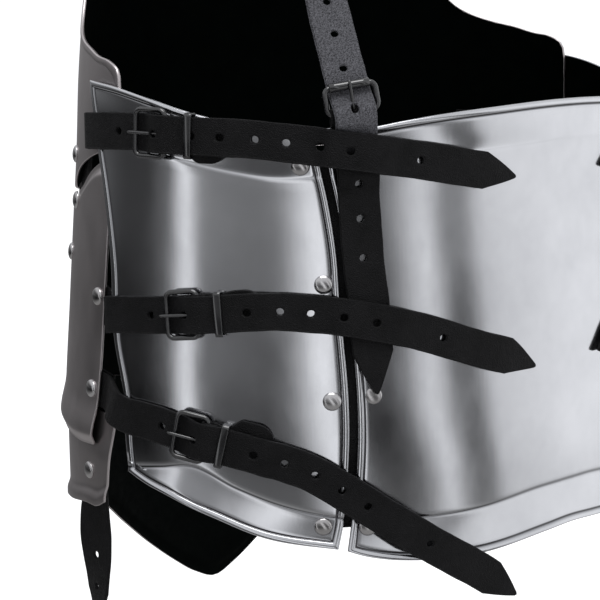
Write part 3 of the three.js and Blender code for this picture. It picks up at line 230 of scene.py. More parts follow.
def fauld_offset(angle, rise):
    tuck = -FAULD_TUCK * smooth((rise - fauld_top_at(angle) + 0.12) / 0.1)
    belly = -POINT_INSET * smooth((-0.02 - rise) / 0.4) * np.clip(-np.sin(np.radians(angle)), 0, 1) ** 6
    return -2.1 + tuck + belly + 1.6 * smooth((fauld_low_at(angle) + 0.035 - rise) / 0.03)


def groove(distance, size):
    depth, width = size
    return depth * np.exp(-((distance / width) ** 2))


def band_offset(angle, rise):
    crease, edge = crease_at(angle), edge_at(angle)
    depth = np.maximum(0.012, crease - edge)
    below = np.clip((crease - rise) / depth, 0, 1.15)
    above = smooth((rise - top_crease_at(angle) + 0.01) / 0.1)
    over = (rise - top_crease_at(angle)) * BAND
    upper = groove(over, (UPPER_GROOVE[0], np.where(over < 0, UPPER_GROOVE[1], UPPER_SLOPE)))
    lower = groove((rise - crease) * BAND, FLANGE_GROOVE)
    flare = FLANGE_FLARE * np.clip(depth / 0.1, 0, 1) * below**1.15
    return BAND_LAYER + flare + TOP_FLARE * above - upper - lower


# Distances from a plate's edge at which its grid has a row: across the raised border, or a bare edge.
NEAR_RIM = np.array([0.25, 0.4, 0.8, 1.55, 2.3, 2.75, 2.95, 3.1, 3.3, 3.6, 4.2, 5.4])
NEAR_CUT = np.array([0.25, 0.6, 1.4])


def bead(distance, relief):
    """Height of the raised border at a distance from the plate's edge."""
    a = np.clip(distance / HALF_BORDER - 1, -1, 1)
    return relief * (RIM_RAISE * np.sqrt(1 - a * a) - groove(distance - FOOT, FOOT_GROOVE))


def painted_shade_and_dirt(distance, angle, rise, crease):
    """Share of painted shade and dirt beside the border and in the crease."""
    if not crease:
        return groove(distance - SHADE_AND_DIRT_FOOT, (0.3, 0.5))
    return np.maximum(groove(distance - SHADE_AND_DIRT_FOOT, (1, 0.5)),
                      groove((rise - crease_at(angle)) * BAND, (0.75, 0.7)))


def plate(low, high, first, last, offset, rims, columns, fills, features=(), slant=False, broad=1.0,
          relief=1.0):
    """A closed sheet of steel between four edges. Features are lines that its rows follow.

    Slant measures the upper border square to a steep edge, broad widens the first edge's border,
    and relief is the border's share of its full height.
    """
    corner = [low(0.0), low(1.0), high(0.0), high(1.0)]

    def coons(u, v):
        u, v = u[..., None], v[..., None]
        return (low(u[..., 0]) * (1 - v) + high(u[..., 0]) * v + first(v[..., 0]) * (1 - u)
                + last(v[..., 0]) * u - corner[0] * (1 - u) * (1 - v) - corner[1] * u * (1 - v)
                - corner[2] * (1 - u) * v - corner[3] * u * v)

    def near(edge):
        return NEAR_RIM * (broad if edge == "first" else 1) if edge in rims else NEAR_CUT

    def spread(width):
        start, end = near("first") / width, 1 - near("last")[::-1] / width
        return np.concatenate([start[:-1], np.linspace(start[-1], end[0], columns), end[1:]])

    u_list = spread((low.total + high.total) / 2)
    height = norm((low(u_list) - high(u_list)) * FLAT, axis=1)
    factor = np.ones(len(u_list))
    if slant:
        edge = np.gradient(high(u_list) * FLAT, axis=0)
        column = (high(u_list) - low(u_list)) * FLAT
        cross = np.abs(edge[:, 0] * column[:, 1] - edge[:, 1] * column[:, 0])
        factor = 1 / np.maximum(0.3, cross / norm(edge, axis=1) / norm(column, axis=1))
        factor = np.convolve(np.pad(factor, 3, mode="edge"), np.ones(7) / 7, mode="valid")
    rows = []
    for k, u in enumerate(u_list):
        lower = near("low") / height[k]
        upper = 1 - near("high")[::-1] * factor[k] / height[k]
        groups = [lower]
        for line, reach in features:
            v = 0.5
            for _ in range(8):
                angle, rise = coons(np.array(u), np.array(v))
                v = np.clip(v + (line(angle) - rise) * BAND / height[k], 0, 1)
            groups.append(np.clip(v + np.array(reach) / height[k], lower[-1] + 1e-3, upper[0] - 1e-3))
        groups.append(upper)
        row = [groups[0]]
        for a, b, fill in zip(groups, groups[1:], fills):
            row += [np.linspace(a[-1], b[0], fill + 2)[1:-1], b]
        rows.append(np.maximum.accumulate(np.concatenate(row)))
    v_grid = np.array(rows)
    v_mean = v_grid.mean(0)
    width = norm((first(v_mean) - last(v_mean)) * FLAT, axis=1)
    u_grid = np.stack([spread(w) for w in width], 1)
    angle, rise = np.moveaxis(coons(u_grid, v_grid), -1, 0)
    far = np.full(u_grid.shape, 99.0)
    distance = np.minimum.reduce([
        u_grid * width[None, :] / broad if "first" in rims else far,
        (1 - u_grid) * width[None, :] if "last" in rims else far,
        v_grid * height[:, None] if "low" in rims else far,
        (1 - v_grid) * (height / factor)[:, None] if "high" in rims else far])
    middle = offset(angle, rise)
    outer = trunk(angle, rise, middle + STEEL / 2 + bead(distance, relief))
    inner = trunk(angle, rise, middle - STEEL / 2)
    nu, nv = u_grid.shape
    border = ([(i, 0) for i in range(nu)] + [(nu - 1, j) for j in range(1, nv)]
              + [(i, nv - 1) for i in range(nu - 2, -1, -1)] + [(0, j) for j in range(nv - 2, 0, -1)])
    bi, bj = np.array(border).T
    edge_u = np.where(bi == 0, 0, np.where(bi == nu - 1, 1, u_grid[bi, bj]))
    edge_v = np.where(bj == 0, 0, np.where(bj == nv - 1, 1, v_grid[bi, bj]))
    rim = coons(edge_u, edge_v).T
    ring = trunk(*rim, offset(*rim) + np.where(distance[bi, bj] < 2, 0.1, 0))
    verts = np.vstack([outer.reshape(-1, 3), inner.reshape(-1, 3), ring])
    i, j = np.meshgrid(np.arange(nu - 1), np.arange(nv - 1), indexing="ij")
    a = (i * nv + j).ravel()
    quads = np.stack([a, a + nv, a + nv + 1, a + 1], 1)
    size = nu * nv
    here = bi * nv + bj
    after = np.roll(here, -1)
    r, r2 = 2 * size + np.arange(len(here)), 2 * size + np.roll(np.arange(len(here)), -1)
    skirt = np.vstack([np.stack([here, r, r2, after], 1),
                       np.stack([r, here + size, after + size, r2], 1)])
    faces = np.vstack([quads, quads[:, ::-1] + size, skirt])
    kinds = np.concatenate([np.zeros(len(quads)), np.ones(len(quads)), np.zeros(len(skirt))]).astype(int)
    # Painted shade and dirt along the border's foot and in the creases; the inside and the edge get none.
    shade_and_dirt = painted_shade_and_dirt(distance, angle, rise, offset is band_offset).ravel()
    shade_and_dirt = np.concatenate([shade_and_dirt, 0 * shade_and_dirt, np.zeros(len(ring))])
    return verts, faces.tolist(), kinds.tolist(), shade_and_dirt


def other_hand(verts, faces):
    return verts * [-1, 1, 1], [face[::-1] for face in faces]


def merge(*bodies):
    verts, faces, start = [], [], 0
    for body in bodies:
        verts.append(body[0])
        faces += [[index + start for index in face] for face in body[1]]
        start += len(body[0])
    return np.vstack(verts), faces


def lathe(point, normal, profile, sides=28):
    """A turned shape on a point: profile rows are radius and height along the normal."""
    across = unit(np.cross(normal, [0.31, 0.17, 0.94]))
    other = np.cross(normal, across)
    turn = full_turn(sides)
    circle = np.cos(turn)[:, None] * across + np.sin(turn)[:, None] * other
    inner = profile[1:-1]
    verts = [point + normal * profile[0][1]]
    verts += [point + normal * h + circle[k] * r for r, h in inner for k in range(sides)]
    verts.append(point + normal * profile[-1][1])
    faces = []
    for k in range(sides):
        n = (k + 1) % sides
        faces.append([0, 1 + n, 1 + k])
        for ring in range(len(inner) - 1):
            a = 1 + ring * sides
            faces.append([a + k, a + n, a + sides + n, a + sides + k])
        a = 1 + (len(inner) - 1) * sides
        faces.append([a + k, a + n, len(verts) - 1])
    return np.array(verts), faces


def rivet(point, normal, tail, seat, head=RIVET_HEAD, height=RIVET_RISE):
    turns = np.linspace(0, np.pi / 2, 9)[:-1]
    arc = [(head * np.cos(t), seat + 0.3 + (height - 0.3) * np.sin(t)) for t in turns]
    back = [(0, tail), (RIVET_SHANK * 0.7, tail), (RIVET_SHANK, tail + 0.3), (RIVET_SHANK, seat - 0.1)]
    return lathe(point, normal, [*back, (head * 0.97, seat), *arc, (0, seat + height)])


def stud(angle, rise, tail, seat, head=RIVET_HEAD, height=RIVET_RISE):
    return rivet(trunk(angle, rise), trunk_normal(angle, rise), tail, seat, head, height)


def eased(knots, s):
    out = np.full(np.shape(s), float(knots[0][1]))
    for (a, low), (b, high) in zip(knots, knots[1:]):
        out = out + (high - low) * smooth((s - a) / (b - a))
    return out


class Track:
    """A run on the trunk and through the air, read by length from its start."""

    def __init__(self, points, normals):
        self.run = Line(np.hstack([points, normals]), [1, 1, 1, 0, 0, 0])
        self.length = self.run.total

    def at(self, s):
        s = np.asarray(s, float)
        values = self.run(s / self.length)
        tangent = unit(self.run((s + 2) / self.length)[..., :3] - self.run((s - 2) / self.length)[..., :3])
        side = unit(np.cross(values[..., 3:], tangent))
        return values[..., :3], tangent, side, unit(np.cross(tangent, side))

    def near(self, angle, rise):
        s = np.arange(0, self.length, 0.5)
        return s[np.argmin(norm(self.run(s / self.length)[:, :3] - trunk(angle, rise), axis=1))]


def on_trunk(rows):
    angle, rise = np.array(rows, float).T
    return trunk(angle, rise), trunk_normal(angle, rise)


# A strap's edge is rounded by this radius; the middle of the round lies this far up and inward.
EDGE_RADIUS, EDGE_LIFT, EDGE_INSET = 0.5, 0.354, 0.146


def leather(points, sides, lengths, half, thickness, holes=(), columns=(), slot=None):
    """A flat leather band with rounded edges, holes punched through it and an optional slot."""
    full = half.max()
    inner = np.array(sorted({*columns, *(-np.array(columns)), 0.0}))
    outer = np.array([(inner[-1] + full) / 2 - 0.2, full - 1.0, full - 0.5])
    across = np.concatenate([-outer[::-1], inner, outer])
    n, m = len(points), len(across)
    tangent = unit(np.gradient(points, axis=0))
    normal = unit(np.cross(tangent, sides))
    s = np.repeat(lengths[:, None], m, 1)
    w = np.repeat(across[None, :], n, 0)
    gone = np.zeros((n - 1, m - 1), bool)
    mid_s, mid_w = (lengths[:-1] + lengths[1:]) / 2, (across[:-1] + across[1:]) / 2
    for centre, radius in holes:
        ds, dw = s - centre, w
        square = np.maximum(np.abs(ds), np.abs(dw))
        round_ = np.hypot(ds, dw) + 1e-9
        outside = radius * 1.7
        blend = np.clip((outside - square) / (outside - radius), 0, 1)
        factor = np.where(square < outside, 1 + (square / round_ - 1) * blend, 1)
        s, w = centre + ds * factor, dw * factor
        gone |= (np.abs(mid_s - centre) < radius)[:, None] & (np.abs(mid_w) < radius)[None, :]
    if slot:
        gone |= ((mid_s > slot[0]) & (mid_s < slot[1]))[:, None] & (np.abs(mid_w) < slot[2])[None, :]
    w = w * (half / full)[:, None]
    shift = s - lengths[:, None]
    base = points[:, None] + tangent[:, None] * shift[..., None] + sides[:, None] * w[..., None]
    top = base + normal[:, None] * thickness / 2
    low = base - normal[:, None] * thickness / 2
    flat = thickness / 2 - EDGE_RADIUS
    edges = []
    bulge = flat + EDGE_LIFT
    for inset, lift in ((EDGE_INSET, bulge), (0, flat), (0, -flat), (EDGE_INSET, -bulge)):
        reach = half - inset * np.minimum(1, half / full)
        for sign in (-1, 1):
            edges.append(points + sides * (sign * reach)[:, None] + normal * lift)
    verts = np.vstack([top.reshape(-1, 3), low.reshape(-1, 3), *edges])
    size = n * m
    faces = []
    for i in range(n - 1):
        for j in range(m - 1):
            a = i * m + j
            if gone[i, j]:
                continue
            b, c, d = a + 1, a + m + 1, a + m
            faces.append([a, b, c, d])
            faces.append([size + a, size + d, size + c, size + b])
            around = ((-1, 0, a, b), (1, 0, c, d), (0, -1, d, a), (0, 1, b, c))
            for di, dj, p, q in around:
                ii, jj = i + di, j + dj
                if 0 <= ii < n - 1 and 0 <= jj < m - 1 and gone[ii, jj]:
                    faces.append([q, p, size + p, size + q])
    for sign in (0, 1):
        column = m - 1 if sign else 0
        strips = [[i * m + column for i in range(n)]]
        strips += [[2 * size + (k * 2 + sign) * n + i for i in range(n)] for k in range(4)]
        strips.append([size + i * m + column for i in range(n)])
        for a, b in zip(strips, strips[1:]):
            faces += [[a[i], b[i], b[i + 1], a[i + 1]] for i in range(n - 1)]
    for i in (0, n - 1):
        left = [2 * size + (k * 2) * n + i for k in range(4)]
        right = [2 * size + (k * 2 + 1) * n + i for k in range(4)]
        above, beneath = [i * m + j for j in range(m)], [size + i * m + j for j in range(m - 1, -1, -1)]
        faces.append(above + right + beneath + left[::-1])
    return verts, faces


def stations(length, step, holes, radius, extra=()):
    """Lengths along a strap: even steps, with closer ones round each hole."""
    near = radius * np.array([-1.7, -1.35, -1, -0.5, 0, 0.5, 1, 1.35, 1.7])
    clear = radius * 1.7 + step * 0.4
    keep = [s for s in np.arange(0, length, step) if all(abs(s - h) > clear for h in holes)]
    return np.array(sorted({*keep, *[h + d for h in holes for d in near], *extra, float(length)}))


HOLE_COLUMNS = HOLE_RADIUS * np.array([0.5, 1, 1.35, 1.7])


def strap(path, width, lift, holes, twist=None, wave=0.0):
    """A pointed strap on a track. Lift and twist are knots of length with height or degrees."""
    end = path.length
    tail = [end - width * t for t in (1.03, 1, 0.97, 0.8, 0.6, 0.4, 0.2, 0.08, 0.04)]
    s = stations(end, 2.2, holes, HOLE_RADIUS, tail)
    s = s[np.concatenate([[True], np.diff(s) > 0.12])]
    point, _, side, normal = path.at(s)
    if twist:
        turn = np.radians(eased(twist, s))[:, None]
        side = unit(side * np.cos(turn) - normal * np.sin(turn))
    share = np.clip((end - s) / width, 0, 1)
    taper = np.minimum(1, 0.07 + 0.93 * share**0.92)
    taper = np.where(end - s < 0.7, taper * 0.5, taper)
    uneven = 1 - 0.008 * (1 + np.sin(s * 0.19 + wave)) - 0.005 * (1 + np.sin(s * 0.47 + wave * 2))
    middle = point + normal * eased(lift, s)[:, None]
    punched = [(h, HOLE_RADIUS) for h in holes]
    return leather(middle, side, s, width / 2 * taper * uneven, LEATHER, punched, HOLE_COLUMNS)


def ring_faces(rings, sides, closed=True):
    """Faces between rings of points, and from the last to the first if closed."""
    return [[k * sides + j, k * sides + (j + 1) % sides, (k + 1) % rings * sides + (j + 1) % sides,
             (k + 1) % rings * sides + j]
            for k in range(rings if closed else rings - 1) for j in range(sides)]


def tube(points, radius, up, closed, sides=14):
    """Round rod through points; up is a direction that no part of it follows."""
    points = np.asarray(points, float)
    tangent = unit(np.roll(points, -1, 0) - np.roll(points, 1, 0) if closed else np.gradient(points, axis=0))
    radius = np.broadcast_to(radius, len(points))
    outward = unit(np.cross(tangent, up))
    upright = np.cross(outward, tangent)
    turn = full_turn(sides)
    rings = points[:, None] + radius[:, None, None] * (
        np.cos(turn)[None, :, None] * outward[:, None] + np.sin(turn)[None, :, None] * upright[:, None])
    faces = ring_faces(len(points), sides, closed)
    if not closed:
        faces += [list(range(sides))[::-1], [(len(points) - 1) * sides + j for j in range(sides)]]
    return rings.reshape(-1, 3), faces


def rounded(half_a, half_b, radius, per_corner=6):
    """Corners of a rounded rectangle as pairs, anticlockwise."""
    out = []
    for x, y, start in ((1, 1, 0), (-1, 1, 90), (-1, -1, 180), (1, -1, 270)):
        for turn in np.radians(np.linspace(start, start + 90, per_corner)):
            out.append((x * (half_a - radius) + radius * np.cos(turn),
                        y * (half_b - radius) + radius * np.sin(turn)))
    return out


def buckle_frame(path, heel, length, heel_rise, far_rise):
    a, b, middle = path.at(heel), path.at(heel - length), path.at(heel - length / 2)
    heel_point, far_point = a[0] + a[3] * heel_rise, b[0] + b[3] * far_rise
    tangent = unit(heel_point - far_point)
    normal = unit(np.cross(tangent, middle[2]))
    side = unit(np.cross(normal, tangent))
    return {"heel": heel_point, "far": far_point, "tangent": tangent, "side": side, "normal": normal,
            "length": norm(heel_point - far_point)}


def buckle(f, strap_width, radius):
    half = strap_width / 2 + 0.6 + radius
    centre = (f["heel"] + f["far"]) / 2
    corners = rounded(f["length"] / 2, half, radius * 2.4, 8)
    points = [centre + f["tangent"] * a + f["side"] * b for a, b in corners]
    return tube(points, radius, f["normal"], True, 16)


def prong(f, radius, rest=None):
    """The tongue and its ring on the heel bar; rest is the radius of a roller that it lies on."""
    ring = radius + 0.25 + PRONG_ROD * 0.85
    root = f["heel"] + f["normal"] * (ring - 0.1) - f["tangent"] * 0.4
    past = 3.2 if rest is None else 2
    end = f["far"] + f["normal"] * ((rest or radius) + GAP + PRONG_ROD) - f["tangent"] * past
    circle = [f["heel"] + ring * (np.cos(t) * f["tangent"] + np.sin(t) * f["normal"]) for t in full_turn(20)]
    share = np.array([0, 0.15, 0.3, 0.5, 0.7, 0.85, 0.93, 0.97, 1])
    line = root + (end - root) * share[:, None]
    size = PRONG_ROD * np.array([1, 1, 1, 1, 1, 0.97, 0.9, 0.75, 0.4])
    return merge(tube(circle, PRONG_ROD * 0.85, f["side"], True, 10),
                 tube(line, size, f["side"], False, 12))


def keeper(path, at, width, low, high):
    point, tangent, side, normal = path.at(at)
    half_w, half_h = width / 2 + GAP + 0.3 + KEEPER_METAL / 2, (high - low) / 2 - KEEPER_METAL / 2
    centre = point + normal * (low + high) / 2
    ring = np.array(rounded(half_w, half_h, 1.1, 6))
    outward = unit(np.stack([np.roll(ring, -1, 0)[:, 1] - np.roll(ring, 1, 0)[:, 1],
                             np.roll(ring, 1, 0)[:, 0] - np.roll(ring, -1, 0)[:, 0]], 1))
    section = rounded(KEEPER_WIDTH / 2, KEEPER_METAL / 2, 0.35, 3)
    verts = []
    for (a, b), (oa, ob) in zip(ring, outward):
        for along, out in section:
            verts.append(centre + side * (a + oa * out) + normal * (b + ob * out) + tangent * along)
    return np.array(verts), ring_faces(len(ring), len(section))


def chape(path, heel, width, centre, base, keeper_at, radius, drift, hump=0.0):
    """The short leather that folds round a buckle's heel bar, with its slot for the prong."""
    fold = radius + GAP + CHAPE_LEATHER / 2
    knots = [(4.2, centre + fold - 1.8), (2.4, centre + fold - 0.6), (0.4, centre + fold)]
    turns = np.radians([115, 140, 160, 180, 200, 220, 245])
    knots += [(fold * np.cos(t), centre + fold * np.sin(t)) for t in turns]
    knots += [(0, centre - fold), (2, centre - fold - (centre - fold - base) * 0.2),
              (4, centre - fold - (centre - fold - base) * 0.5)]
    if keeper_at:
        knots += [(keeper_at + d, base + h) for d, h in ((-2.6, 1.2), (0, 1.5), (2, 1.4), (4.8, 0.4))]
    else:
        knots += [(9, base + 0.1), (12, base)]
    knots += [(20, base + hump), (24, base + hump), (CHAPE_LENGTH, base)]
    run = Line(knots, [1, 1], 10)
    round_ = width / 2
    tail = [run.total - round_ * t for t in (1, 0.85, 0.7, 0.5, 0.35, 0.2, 0.1, 0.04)]
    lengths = np.array(sorted({*np.arange(0, run.total - round_, 0.9), *tail, run.total}))
    flat = run(lengths / run.total)
    point, _, side, normal = path.at(heel + flat[:, 0])
    point = point + side * eased(drift, flat[:, 0])[:, None]
    left = np.clip((run.total - lengths) / round_, 0, 1)
    half = width / 2 * np.sqrt(np.clip(1 - (1 - left) ** 2, 0.02, 1))
    slot_half = PRONG_ROD * 0.85 + 0.5
    fold_start = 3.0
    fold_end = fold_start + np.pi * fold + 3.2
    return leather(point + normal * flat[:, 1:], side, lengths, half, CHAPE_LEATHER, (),
                   (slot_half, slot_half + 0.8), (fold_start - 1.2, fold_end, slot_half))


# Materials.
def feed(tree, socket, value):
    if isinstance(value, bpy.types.NodeSocket):
        tree.links.new(value, socket)
    else:
        socket.default_value = value


def plug(tree, made, **sockets):
    """Sets a node's inputs by name, each to a value or to the output that feeds it."""
    for name, value in sockets.items():
        feed(tree, made.inputs[name.replace("_", " ")], value)
    return made


def node(tree, kind, **sockets):
    return plug(tree, tree.nodes.new("ShaderNode" + kind), **sockets)


def node_material(name):
    material = bpy.data.materials.new(name)
    material.use_nodes = True
    tree = material.node_tree
    tree.nodes.clear()
    shader = node(tree, "BsdfPrincipled")
    node(tree, "OutputMaterial", Surface=shader.outputs[0])
    return material, tree, shader, node(tree, "TexCoord").outputs["Object"]


def noise(tree, coords, scale, detail=3.0, stretch=(1, 1, 1), roughness=0.5):
    placed = node(tree, "Mapping", Vector=coords, Scale=stretch).outputs[0]
    texture = node(tree, "TexNoise", Vector=placed, Scale=scale, Detail=detail, Roughness=roughness)
    return texture.outputs["Fac"]


def ramp(tree, value, stops):
    made = node(tree, "ValToRGB", Fac=value)
    while len(made.color_ramp.elements) < len(stops):
        made.color_ramp.elements.new(0.5)
    for element, (at, colour) in zip(made.color_ramp.elements, stops):
        element.position = at
        element.color = (*colour, 1) if isinstance(colour, tuple) else (colour, colour, colour, 1)
    return made.outputs[0]


def mix(tree, factor, a, b):
    made = tree.nodes.new("ShaderNodeMix")
    made.data_type = "RGBA"
    for key, value in (("Factor", factor), (6, a), (7, b)):
        feed(tree, made.inputs[key], value)
    return made.outputs[2]


def bump(tree, height, distance, below=None):
    made = node(tree, "Bump", Height=height, Distance=distance, Strength=1.0)
    if below:
        plug(tree, made, Normal=below)
    return made.outputs[0]


def steel(name, dark, light, rough, wave, grain):
    """Steel with faint stains, hammered waves and grain in metres, and dark paint where the mesh's share
    says: painted shade and dirt in grooves and creases.
    """
    material, tree, shader, coords = node_material(name)
    # Reads the mesh's share of painted shade and dirt.
    shade_and_dirt = node(tree, "Attribute")
    shade_and_dirt.attribute_name = "painted_shade_and_dirt"
    clean = ramp(tree, noise(tree, coords, 26, 5, roughness=0.6), [(0.3, dark), (0.65, light)])
    patches = noise(tree, coords, 38, 6, (1, 1, 0.5), 0.65)
    normal = bump(tree, noise(tree, coords, 17, 1.5, (1, 1, 0.75)), wave)
    normal = bump(tree, noise(tree, coords, 60, 2, (1, 1, 0.35)), wave * 0.12, normal)
    normal = bump(tree, noise(tree, coords, 900, 2, (1, 1, 0.06)), grain, normal)
    plug(tree, shader, Metallic=1.0, Base_Color=mix(tree, shade_and_dirt.outputs["Fac"], clean, SHADE_AND_DIRT_COLOUR),
         Roughness=ramp(tree, patches, [(0.3, rough[0]), (0.7, rough[1])]), Normal=normal)
    return material


def leather_material(name, sheen_height=None):
    """Black grained leather; the height argument is in metres, and above it grey flecks are painted on the
    face: painted sheen from the light above.
    """
    material, tree, shader, coords = node_material(name)
    tone = noise(tree, coords, 55, 6, roughness=0.7)
    colour = ramp(tree, tone, [(0.3, (0.0022, 0.0022, 0.0025)), (0.7, (0.006, 0.0058, 0.0065))])
    if sheen_height:
        # Grey flecks painted on the face above the given height: painted sheen where the top light falls.
        sheen_flecks = noise(tree, coords, 1500, 3, roughness=0.8)
        painted_sheen = ramp(tree, sheen_flecks, [(0.35, (0.012, 0.012, 0.014)), (0.62, (0.12, 0.12, 0.133))])
        height = node(tree, "SeparateXYZ", Vector=coords).outputs[2]
        colour = mix(tree, ramp(tree, height, [(sheen_height - 0.012, 0.0), (sheen_height, 1.0)]), colour, painted_sheen)
    rub = noise(tree, coords, 420, 3, roughness=0.7)
    cells = node(tree, "TexVoronoi", Vector=coords, Scale=1700).outputs["Distance"]
    normal = bump(tree, noise(tree, coords, 150, 3), 0.0003)
    normal = bump(tree, cells, 0.00035, normal)
    normal = bump(tree, noise(tree, coords, 2400, 2, roughness=0.7), 0.00015, normal)
    plug(tree, shader, Base_Color=colour, Roughness=ramp(tree, rub, [(0.3, 0.36), (0.7, 0.6)]), Normal=normal,
         Specular_IOR_Level=0.13, Sheen_Weight=0.012, Sheen_Roughness=0.4)
    return material


def paint_material(name, colour, light, rough, grain, ior):
    material, tree, shader, coords = node_material(name)
    tone = noise(tree, coords, 70, 5, roughness=0.6)
    rub = noise(tree, coords, 240, 4, roughness=0.7)
    plug(tree, shader, Base_Color=ramp(tree, tone, [(0.35, colour), (0.7, light)]), IOR=ior,
         Roughness=ramp(tree, rub, [(0.3, rough[0]), (0.7, rough[1])]),
         Normal=bump(tree, noise(tree, coords, 700, 3), grain))
    return material


# Colour of the painted shade and dirt in the steel's grooves and creases.
SHADE_AND_DIRT_COLOUR = (0.025, 0.024, 0.026, 1)
POLISHED = steel("polished_steel", (0.6, 0.605, 0.63), (0.68, 0.685, 0.71), (0.12, 0.19), 0.0004, 0.000004)
FRONT = steel("satin_steel", (0.49, 0.455, 0.455), (0.57, 0.53, 0.535), (0.3, 0.42), 0.0006, 0.00002)
DOME = steel("rivet_steel", (0.42, 0.405, 0.4), (0.6, 0.59, 0.6), (0.16, 0.28), 0.0002, 0.00001)
INSIDE = paint_material("black_paint", (0.0002, 0.0007, 0.0005), (0.0005, 0.0013, 0.001), (0.5, 0.7),
                        0.00003, 1.08)
BLACK = paint_material("black_fitting", (0.004, 0.004, 0.0045), (0.008, 0.008, 0.009), (0.06, 0.13),
                       0.000003, 1.85)
# The second leather has painted sheen on its face above 0.2 m.
HIDE, SHEEN_PAINTED_LEATHER = leather_material("black_leather"), leather_material("sheen_painted_leather", 0.2)


# Pieces. Each look is the materials, outside first, and the slot.
METRES = 0.001
BAND_LOOK, FRONT_LOOK = ([POLISHED, INSIDE], "polished_steel"), ([FRONT, INSIDE], "front_steel")
FITTING, HIDES = ([BLACK], "black_fitting"), ([HIDE], "leather")


def add_object(name, data):
    item = bpy.data.objects.new(name, data)
    scene.collection.objects.link(item)
    return item


def piece(name, body, materials, slot, node, flipped=False):
    """A mesh from a body in millimetres; flipped makes the wearer's right side from the left."""
    verts, faces = body[0] * METRES, body[1]
    if flipped:
        verts, faces = other_hand(verts, faces)
    mesh = bpy.data.meshes.new(name)
    mesh.from_pydata(verts.tolist(), [], faces)
    for material in materials:
        mesh.materials.append(material)
    if len(body) > 2:
        mesh.polygons.foreach_set("material_index", body[2])
        # Stores the share of painted shade and dirt that the steel material darkens by.
        mesh.attributes.new("painted_shade_and_dirt", "FLOAT", "POINT").data.foreach_set("value", body[3])
    mesh.polygons.foreach_set("use_smooth", [True] * len(mesh.polygons))
    mesh.update()
    item = add_object(name, mesh)
    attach(item, "root")
    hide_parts(node)


def pair(name, body, materials, slot, node=None):
    for hand in ("left", "right"):
        shown, replaced = f"{name}_{hand}_shown", f"{node or name}_{hand}"
        piece(shown, body, materials, slot, replaced, hand == "right")


def front_lame(name, low, high, edge, *rest, **more):
    """A front plate from the rows of its lower, upper and left edges."""
    body = plate(across_middle(low), across_middle(high), flat_line(edge), flat_line(mirrored(edge)),
                 *rest, **more)
    piece(f"{name}_shown", body, *FRONT_LOOK, name)


def both_sides(studs):
    return merge(*[body for made in studs for body in (made, other_hand(*made))])


# Heights over the trunk's oval in the stack on the band: plate, chape, bar and strap.
PLATE_TOP = BAND_LAYER + STEEL / 2
OVER_RIM = PLATE_TOP + RIM_RAISE + GAP + LEATHER / 2
UNDER = -STEEL - GAP - 0.35 - LEATHER / 2
SHOULDER_BASE = OVER_RIM + TOP_FLARE - LEATHER / 2 + CHAPE_LEATHER / 2 + 0.1
SHOULDER_REST = SHOULDER_BASE + CHAPE_LEATHER / 2 + 2 * GAP + LEATHER / 2
OVER_SHOULDER = SHOULDER_REST + LEATHER + GAP + 0.7
PATHS = {"upper": UPPER_PATH, "middle": MIDDLE_PATH, "lower": LOWER_PATH}
tracks = {name: Track(*on_trunk(rows)) for name, rows in PATHS.items()}
tracks["hanging"] = Track(*on_trunk(HANGING_PATH))
front, back = on_trunk(SHOULDER_FRONT), on_trunk(SHOULDER_BACK)
arch = np.array(SHOULDER_ARCH)
tracks["shoulder"] = Track(
    np.vstack([front[0], arch[:, :3] * [HALF_WIDTH, HALF_DEPTH, BAND], back[0]]),
    np.vstack([front[1], unit(arch[:, 3:]), back[1]]))


def free_end(name, p):
    """Knots of length and height for a side strap's last stretch, over the shoulder strap and the border."""
    if name == "upper":
        return [(p.near(42.8, 0.95), OVER_RIM + 1), (p.near(45.8, 0.945), OVER_SHOULDER),
                (p.near(54.4, 0.93), OVER_SHOULDER), (p.near(58.5, 0.92), OVER_RIM + 0.6),
                (p.length, OVER_RIM + 0.8)]
    if name == "middle":
        return [(p.near(44, 0.56), OVER_RIM + 0.1), (p.near(47.6, 0.556), 7.4), (p.near(57, 0.527), 7.4),
                (p.near(61, 0.51), OVER_RIM), (p.length, OVER_RIM + 0.6)]
    return [(p.near(45.6, 0.163), OVER_RIM + 0.9), (p.near(54, 0.085), 8.2), (p.near(58.5, 0.039), 10.8),
            (p.near(70, -0.078), 11), (p.length, 11.8)]


# Holes of each strap by their distance from the heel bar, and its buckle leather's sideways drift.
HOLES = {"upper": (-27, -2.8, 13.8, 27, 41.8, 55.8, 71, 83.8, 117.8),
         "middle": (-24, -5, 23, 37.5, 51.5, 66.2, 81.2, 115.8),
         "lower": (-22.5, -4.5, 23, 37.5, 52.5, 66.8, 81, 116.2),
         "shoulder": (-72, -53.5, -36.5, -18.8, -1.6, 33, 49.5, 67.8)}
DRIFTS = {"upper": [(10, 0), (17, -4.2), (30, -4.2)], "middle": [(0, 1), (11, 1), (17, 1.9), (30, 1.9)],
          "lower": [(5, 0.6), (8.6, 0.8), (15, 5.6), (24, 6)], "shoulder": [(0, -1.6), (4, -2.2), (30, -2.2)]}
